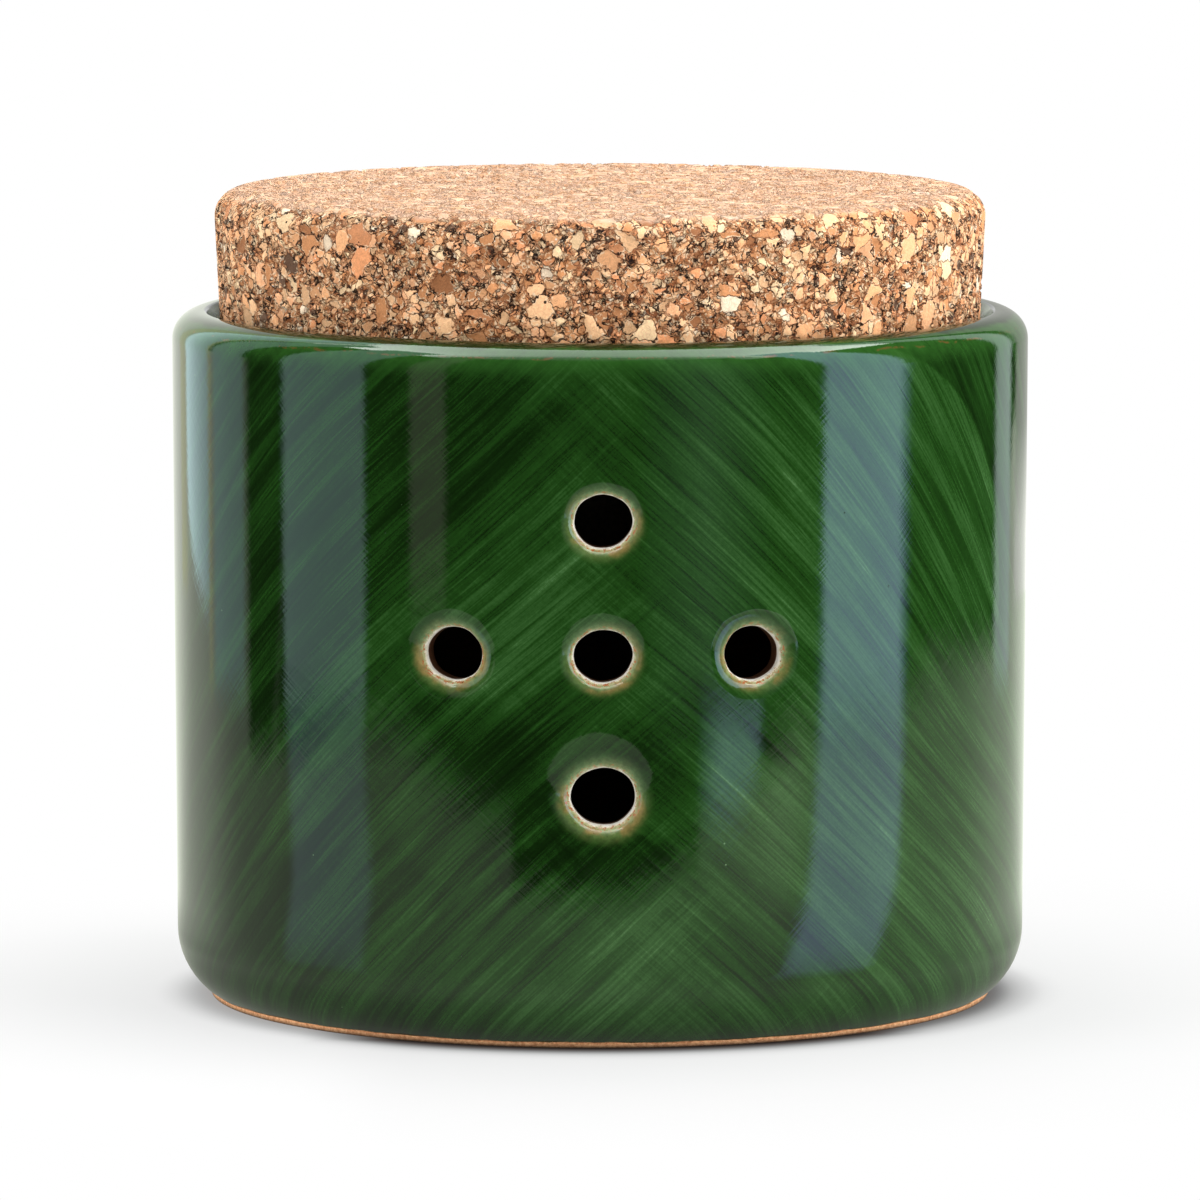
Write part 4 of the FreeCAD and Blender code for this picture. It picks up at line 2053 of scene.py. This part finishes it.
        # painted contact shadow: the floor's colour and glow darken round the jar's foot, less on the
        # left and right, with a warm tint
        on_left = g.remap(x, -0.044, -0.026, 1.0, 0.0)
        dimmest = g.between(on_left, 0.35, 0.55)
        contact_shadow = g.plus(g.remap(reach, 0.0560, 0.0632, 0.03, 0.82),
                         g.remap(reach, 0.059, 0.069, 0.0, 0.18))
        on_right = g.times(g.remap(x, 0.032, 0.048), g.remap(reach, 0.0570, 0.0610, 0.55, 0.9))
        contact_shadow = g.most(contact_shadow, on_left, on_right)
        warm_shadow = g.join(1.0, g.remap(contact_shadow, 0.0, 0.6, 0.80, 1.0), g.remap(contact_shadow, 0.0, 0.6, 0.72, 1.0))
        contact_shadow = g.scaled(warm_shadow, contact_shadow)
        pale = g.times(g.remap(reach, 0.055, 0.066, dimmest, 1.0), self.FLOOR_PALE)
        matt = g.node("ShaderNodeBsdfDiffuse", {"Color": g.scaled(contact_shadow, pale)}).outputs[0]
        under = g.remap(reach, 0.056, 0.066, dimmest, g.between(on_left, 0.91, 0.98))
        lit = g.between(g.remap(reach, 0.08, 0.15), under, 1.0)
        plain = g.node("ShaderNodeEmission", {"Color": contact_shadow, "Strength": lit}).outputs[0]
        share = g.remap(reach, 0.08, 0.15, 0.58, 1.0)
        faded = g.node("ShaderNodeMixShader", {0: share, 1: matt, 2: plain}).outputs[0]
        seen = self.floor_in_gloss(g, x, y)
        rays = g.node("ShaderNodeLightPath").outputs
        surface = g.node("ShaderNodeMixShader", {0: rays["Is Glossy Ray"], 1: faded, 2: seen})
        g.node("ShaderNodeOutputMaterial", {0: surface.outputs[0]})
        mesh.materials.append(material)
        floor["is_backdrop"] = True

    def floor_in_gloss(self, g: Graph, x: Socket, y: Socket) -> Socket:
        """The table as the gloss shows it: pale, with a lit streak before each tall panel and a painted
        shadow round the jar's foot.

        Args:
            g: The floor material's graph.
            x: Distance to the right, in metres.
            y: Distance to the back.

        Returns:
            The emission shader.
        """
        across = g.math("ABSOLUTE", g.over(g.minus(x, self.TABLE_SHIFT), self.TABLE_HALF_WIDTH))
        rest = g.math("SUBTRACT", 1.0, g.math("POWER", across, 6.0), clamp=True)
        front = g.times(g.math("POWER", rest, 1 / 6), self.TABLE_FRONT)
        notch = g.band(x, (-0.105, -0.075), (0.095, 0.112))
        notch = g.times(notch, g.remap(x, 0.02, 0.075, 0.054, 0.03, False))
        inside = g.plus(y, g.minus(front, notch))
        table = g.remap(inside, -0.003, 0.003)
        angle = g.math("DEGREES", g.math("ARCTAN2", x, g.times(g.plus(y, 0.057), -1.0)))
        turned = g.math("ABSOLUTE", angle)
        on_left = g.math("LESS_THAN", angle, 0.0)
        left_edge = g.remap(angle, -102.0, -86.0, 0.342, 0.352, False)
        right_edge = g.remap(angle, 138.0, 146.0, 0.47, 0.9, False)
        edge = g.between(on_left, right_edge, left_edge)
        reach = g.length(x, y)
        beyond = g.times(g.remap(g.minus(reach, edge), -0.003, 0.003), g.remap(y, 0.0, 0.02))
        beside = g.times(g.remap(across, 0.99, 1.01), g.remap(y, 0.0, 0.02, 1.0, 0.0))
        slant = g.minus(x, g.times(g.plus(y, 0.255), 0.58))
        beside = g.most(beside, g.remap(slant, 0.299, 0.305))
        gone = g.times(g.most(beyond, beside), g.remap(angle, -111.0, -109.5))
        table = g.times(table, g.minus(1.0, gone))
        level = g.times(g.remap(x, 0.06, 0.19), g.remap(angle, 52.0, 66.0, 1.0, 0.25))
        level = g.between(level, 0.54, 1.06)
        level = g.between(g.remap(turned, 112.0, 132.0), level, 0.88)
        level = g.between(g.remap(turned, 140.0, 155.0), level, 1.12)
        # painted shadow: the table shows darker near the jar's foot
        level = g.between(g.remap(reach, 0.085, 0.14), 0.6, level)
        level = g.times(level, g.remap(reach, 0.058, 0.078, 0.5, 1.0))
        shown = g.scaled(g.join(0.95, 1.0, 0.86), g.plus(g.times(table, level), 0.02))
        far = g.remap(reach, 0.10, 0.22)
        streaks = (
            (g.between(far, -101.0, -95.0), g.between(far, -79.0, -70.0), (0.32, 0.46, 0.62)),
            (g.between(far, 60.0, 63.4), g.between(far, 86.0, 91.0), (0.85, 1.1, 2.0)),
        )
        for start, end, shade in streaks:
            past_start = g.remap(g.minus(angle, start), -1.5, 1.5)
            before_end = g.remap(g.minus(angle, end), -1.5, 1.5, 1.0, 0.0)
            mask = g.times(past_start, before_end, g.remap(reach, 0.095, 0.155))
            shown = g.vector("ADD", shown, g.scaled(g.join(*shade), mask))
        return g.node("ShaderNodeEmission", {"Color": shown, "Strength": 1.0}).outputs[0]

    def add_lamp(self, lamp: Lamp) -> None:
        """Hang a soft lamp, aimed at the jar's middle, that doesn't show in the gloss.

        Args:
            lamp: The lamp.
        """
        data = bpy.data.lights.new(lamp.name, "AREA")
        data.size = lamp.size
        data.energy = lamp.power
        made = put(lamp.name, data)
        made.location = lamp.place
        aim = made.location.copy()
        aim.z -= self.LAMPS_AIM
        made.rotation_euler = aim.to_track_quat("Z", "Y").to_euler()
        made.visible_glossy = False
        made.visible_camera = False

    def show_in_gloss(self, name: str, points: list, faces: list, levels: list,
                      shade: tuple[float, float, float], strength: float) -> None:
        """Make a lit panel that only glossy rays see.

        Args:
            name: The panel's name.
            points: Its points in metres.
            faces: Its faces.
            levels: The share of its brightness at each point.
            shade: Its colour.
            strength: Its brightness.
        """
        mesh = bpy.data.meshes.new(name)
        mesh.from_pydata(points, [], faces)
        panel = put(name, mesh)
        set_numbers(panel, "level", np.array(levels))
        material, g = blank_material(name)
        level = g.node("ShaderNodeAttribute", attribute_name="level").outputs["Fac"]
        inputs = {"Color": (*shade, 1.0), "Strength": g.times(level, strength)}
        light = g.node("ShaderNodeEmission", inputs)
        g.node("ShaderNodeOutputMaterial", {0: light.outputs[0]})
        mesh.materials.append(material)
        for rays in ("camera", "diffuse", "transmission", "shadow"):
            setattr(panel, "visible_" + rays, False)
        panel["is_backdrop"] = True

    def stands_at(self, shown: float, distance: float) -> tuple[float, float]:
        """Where a panel's edge stands, for the gloss to show it at an angle round the jar.

        Args:
            shown: The angle round the jar in degrees, from the front towards +X.
            distance: How far from the axis the panel stands, in metres.

        Returns:
            X and Y in metres.
        """
        x, y = on_circle(self.JAR_RADIUS, shown)
        camera_x, camera_y = on_circle(self.CAMERA_DISTANCE, self.CAMERA_SIDE)
        way = 2 * math.radians(shown) - math.atan2(camera_x - x, y - camera_y)
        along = x * math.sin(way) - y * math.cos(way)
        reach = math.sqrt(along**2 - self.JAR_RADIUS**2 + distance**2) - along
        return x + reach * math.sin(way), y - reach * math.cos(way)

    def add_card(self, card: Card) -> None:
        """Stand up one curved panel.

        Args:
            card: The panel.
        """
        heights = np.linspace(card.low, card.high, self.CARD_ROWS)
        if card.fade is not None:
            heights = np.array([card.low, card.fade[0], card.fade[1], card.high])
        if card.foot_start is not None or card.foot_end is not None:
            near = card.low + card.foot_rise * np.linspace(0, self.FOOT_REACH, self.FOOT_ROWS)
            heights = np.append(near[near < card.high], card.high)
        foot_start = card.start if card.foot_start is None else card.foot_start
        foot_end = card.end if card.foot_end is None else card.foot_end
        points = []
        levels = []
        for height in heights:
            drawn_in = math.exp(-(height - card.low) / card.foot_rise)
            start = card.start + (foot_start - card.start) * drawn_in
            end = card.end + (foot_end - card.end) * drawn_in
            dimmed = 1.0
            if card.fade is not None and height >= card.fade[1]:
                dimmed = card.fade[2]
            for share in np.linspace(0, 1, self.CARD_COLUMNS):
                angle = start + (end - start) * share
                points.append((*self.stands_at(float(angle), card.distance), float(height)))
                risen = min(1.0, share / card.soft) if card.soft else 1.0
                if card.soft_end:
                    risen = min(risen, (1 - share) / card.soft_end)
                levels.append(dimmed * risen * (1 - card.falls * share))
        faces = self.net(len(heights), self.CARD_COLUMNS)
        self.show_in_gloss(card.name, points, faces, levels, card.shade, card.strength)

    def net(self, rows: int, columns: int) -> list[tuple[int, int, int, int]]:
        """The quads of a grid of points.

        Args:
            rows: How many rows of points it has.
            columns: How many points a row has.

        Returns:
            The quads, row by row.
        """
        faces = []
        for row in range(rows - 1):
            for column in range(columns - 1):
                first = row * columns + column
                faces.append((first, first + 1, first + 1 + columns, first + columns))
        return faces

    def add_canopy(self) -> None:
        """The panel overhead, as the lip's gloss shows it: dim in front, bright at the sides."""
        half = self.CANOPY_HALF_WIDTH
        across = np.linspace(-half, half, self.CANOPY_COLUMNS).tolist()
        points = []
        levels = []
        for y, level in self.CANOPY_LEVELS:
            for x in across:
                points.append((x, y, self.CANOPY_HEIGHT))
                levels.append(level * (1 + self.CANOPY_SIDES * (abs(x) / half) ** 2))
        faces = self.net(len(self.CANOPY_LEVELS), len(across))
        self.show_in_gloss("canopy", points, faces, levels, self.CANOPY_SHADE, self.CANOPY_STRENGTH)


def report(piece: bpy.types.Object) -> None:
    """Log a piece's name and how fine its mesh is."""
    mesh = piece.data
    log.info("%s: %d points, %d faces", piece.name, len(mesh.vertices), len(mesh.polygons))


def main() -> None:
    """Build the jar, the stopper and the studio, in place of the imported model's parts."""
    logging.basicConfig(level=logging.INFO, format="%(message)s")
    speckle = Speckle()
    stroke = stroke_group()
    patch = patch_group()

    jar = Jar(JarSizes()).build()
    jar.data.materials.append(GreenGlaze().material(speckle, stroke, patch))
    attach(jar, "jar")
    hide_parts("jar")
    report(jar)

    cork = CorkGrain()
    stopper = Stopper(StopperSizes()).build()
    finish = cork.material(speckle)
    cork.raise_grains().modify(stopper, {"Relief": cork.relief * MM, "Finish": finish})
    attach(stopper, "stopper")
    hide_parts("cork_stopper")
    report(stopper)

    Studio().build()
    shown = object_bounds()
    [[list(corner) for corner in box] for box in (CAD_BOX, shown)]


if __name__ == "__main__":
    main()
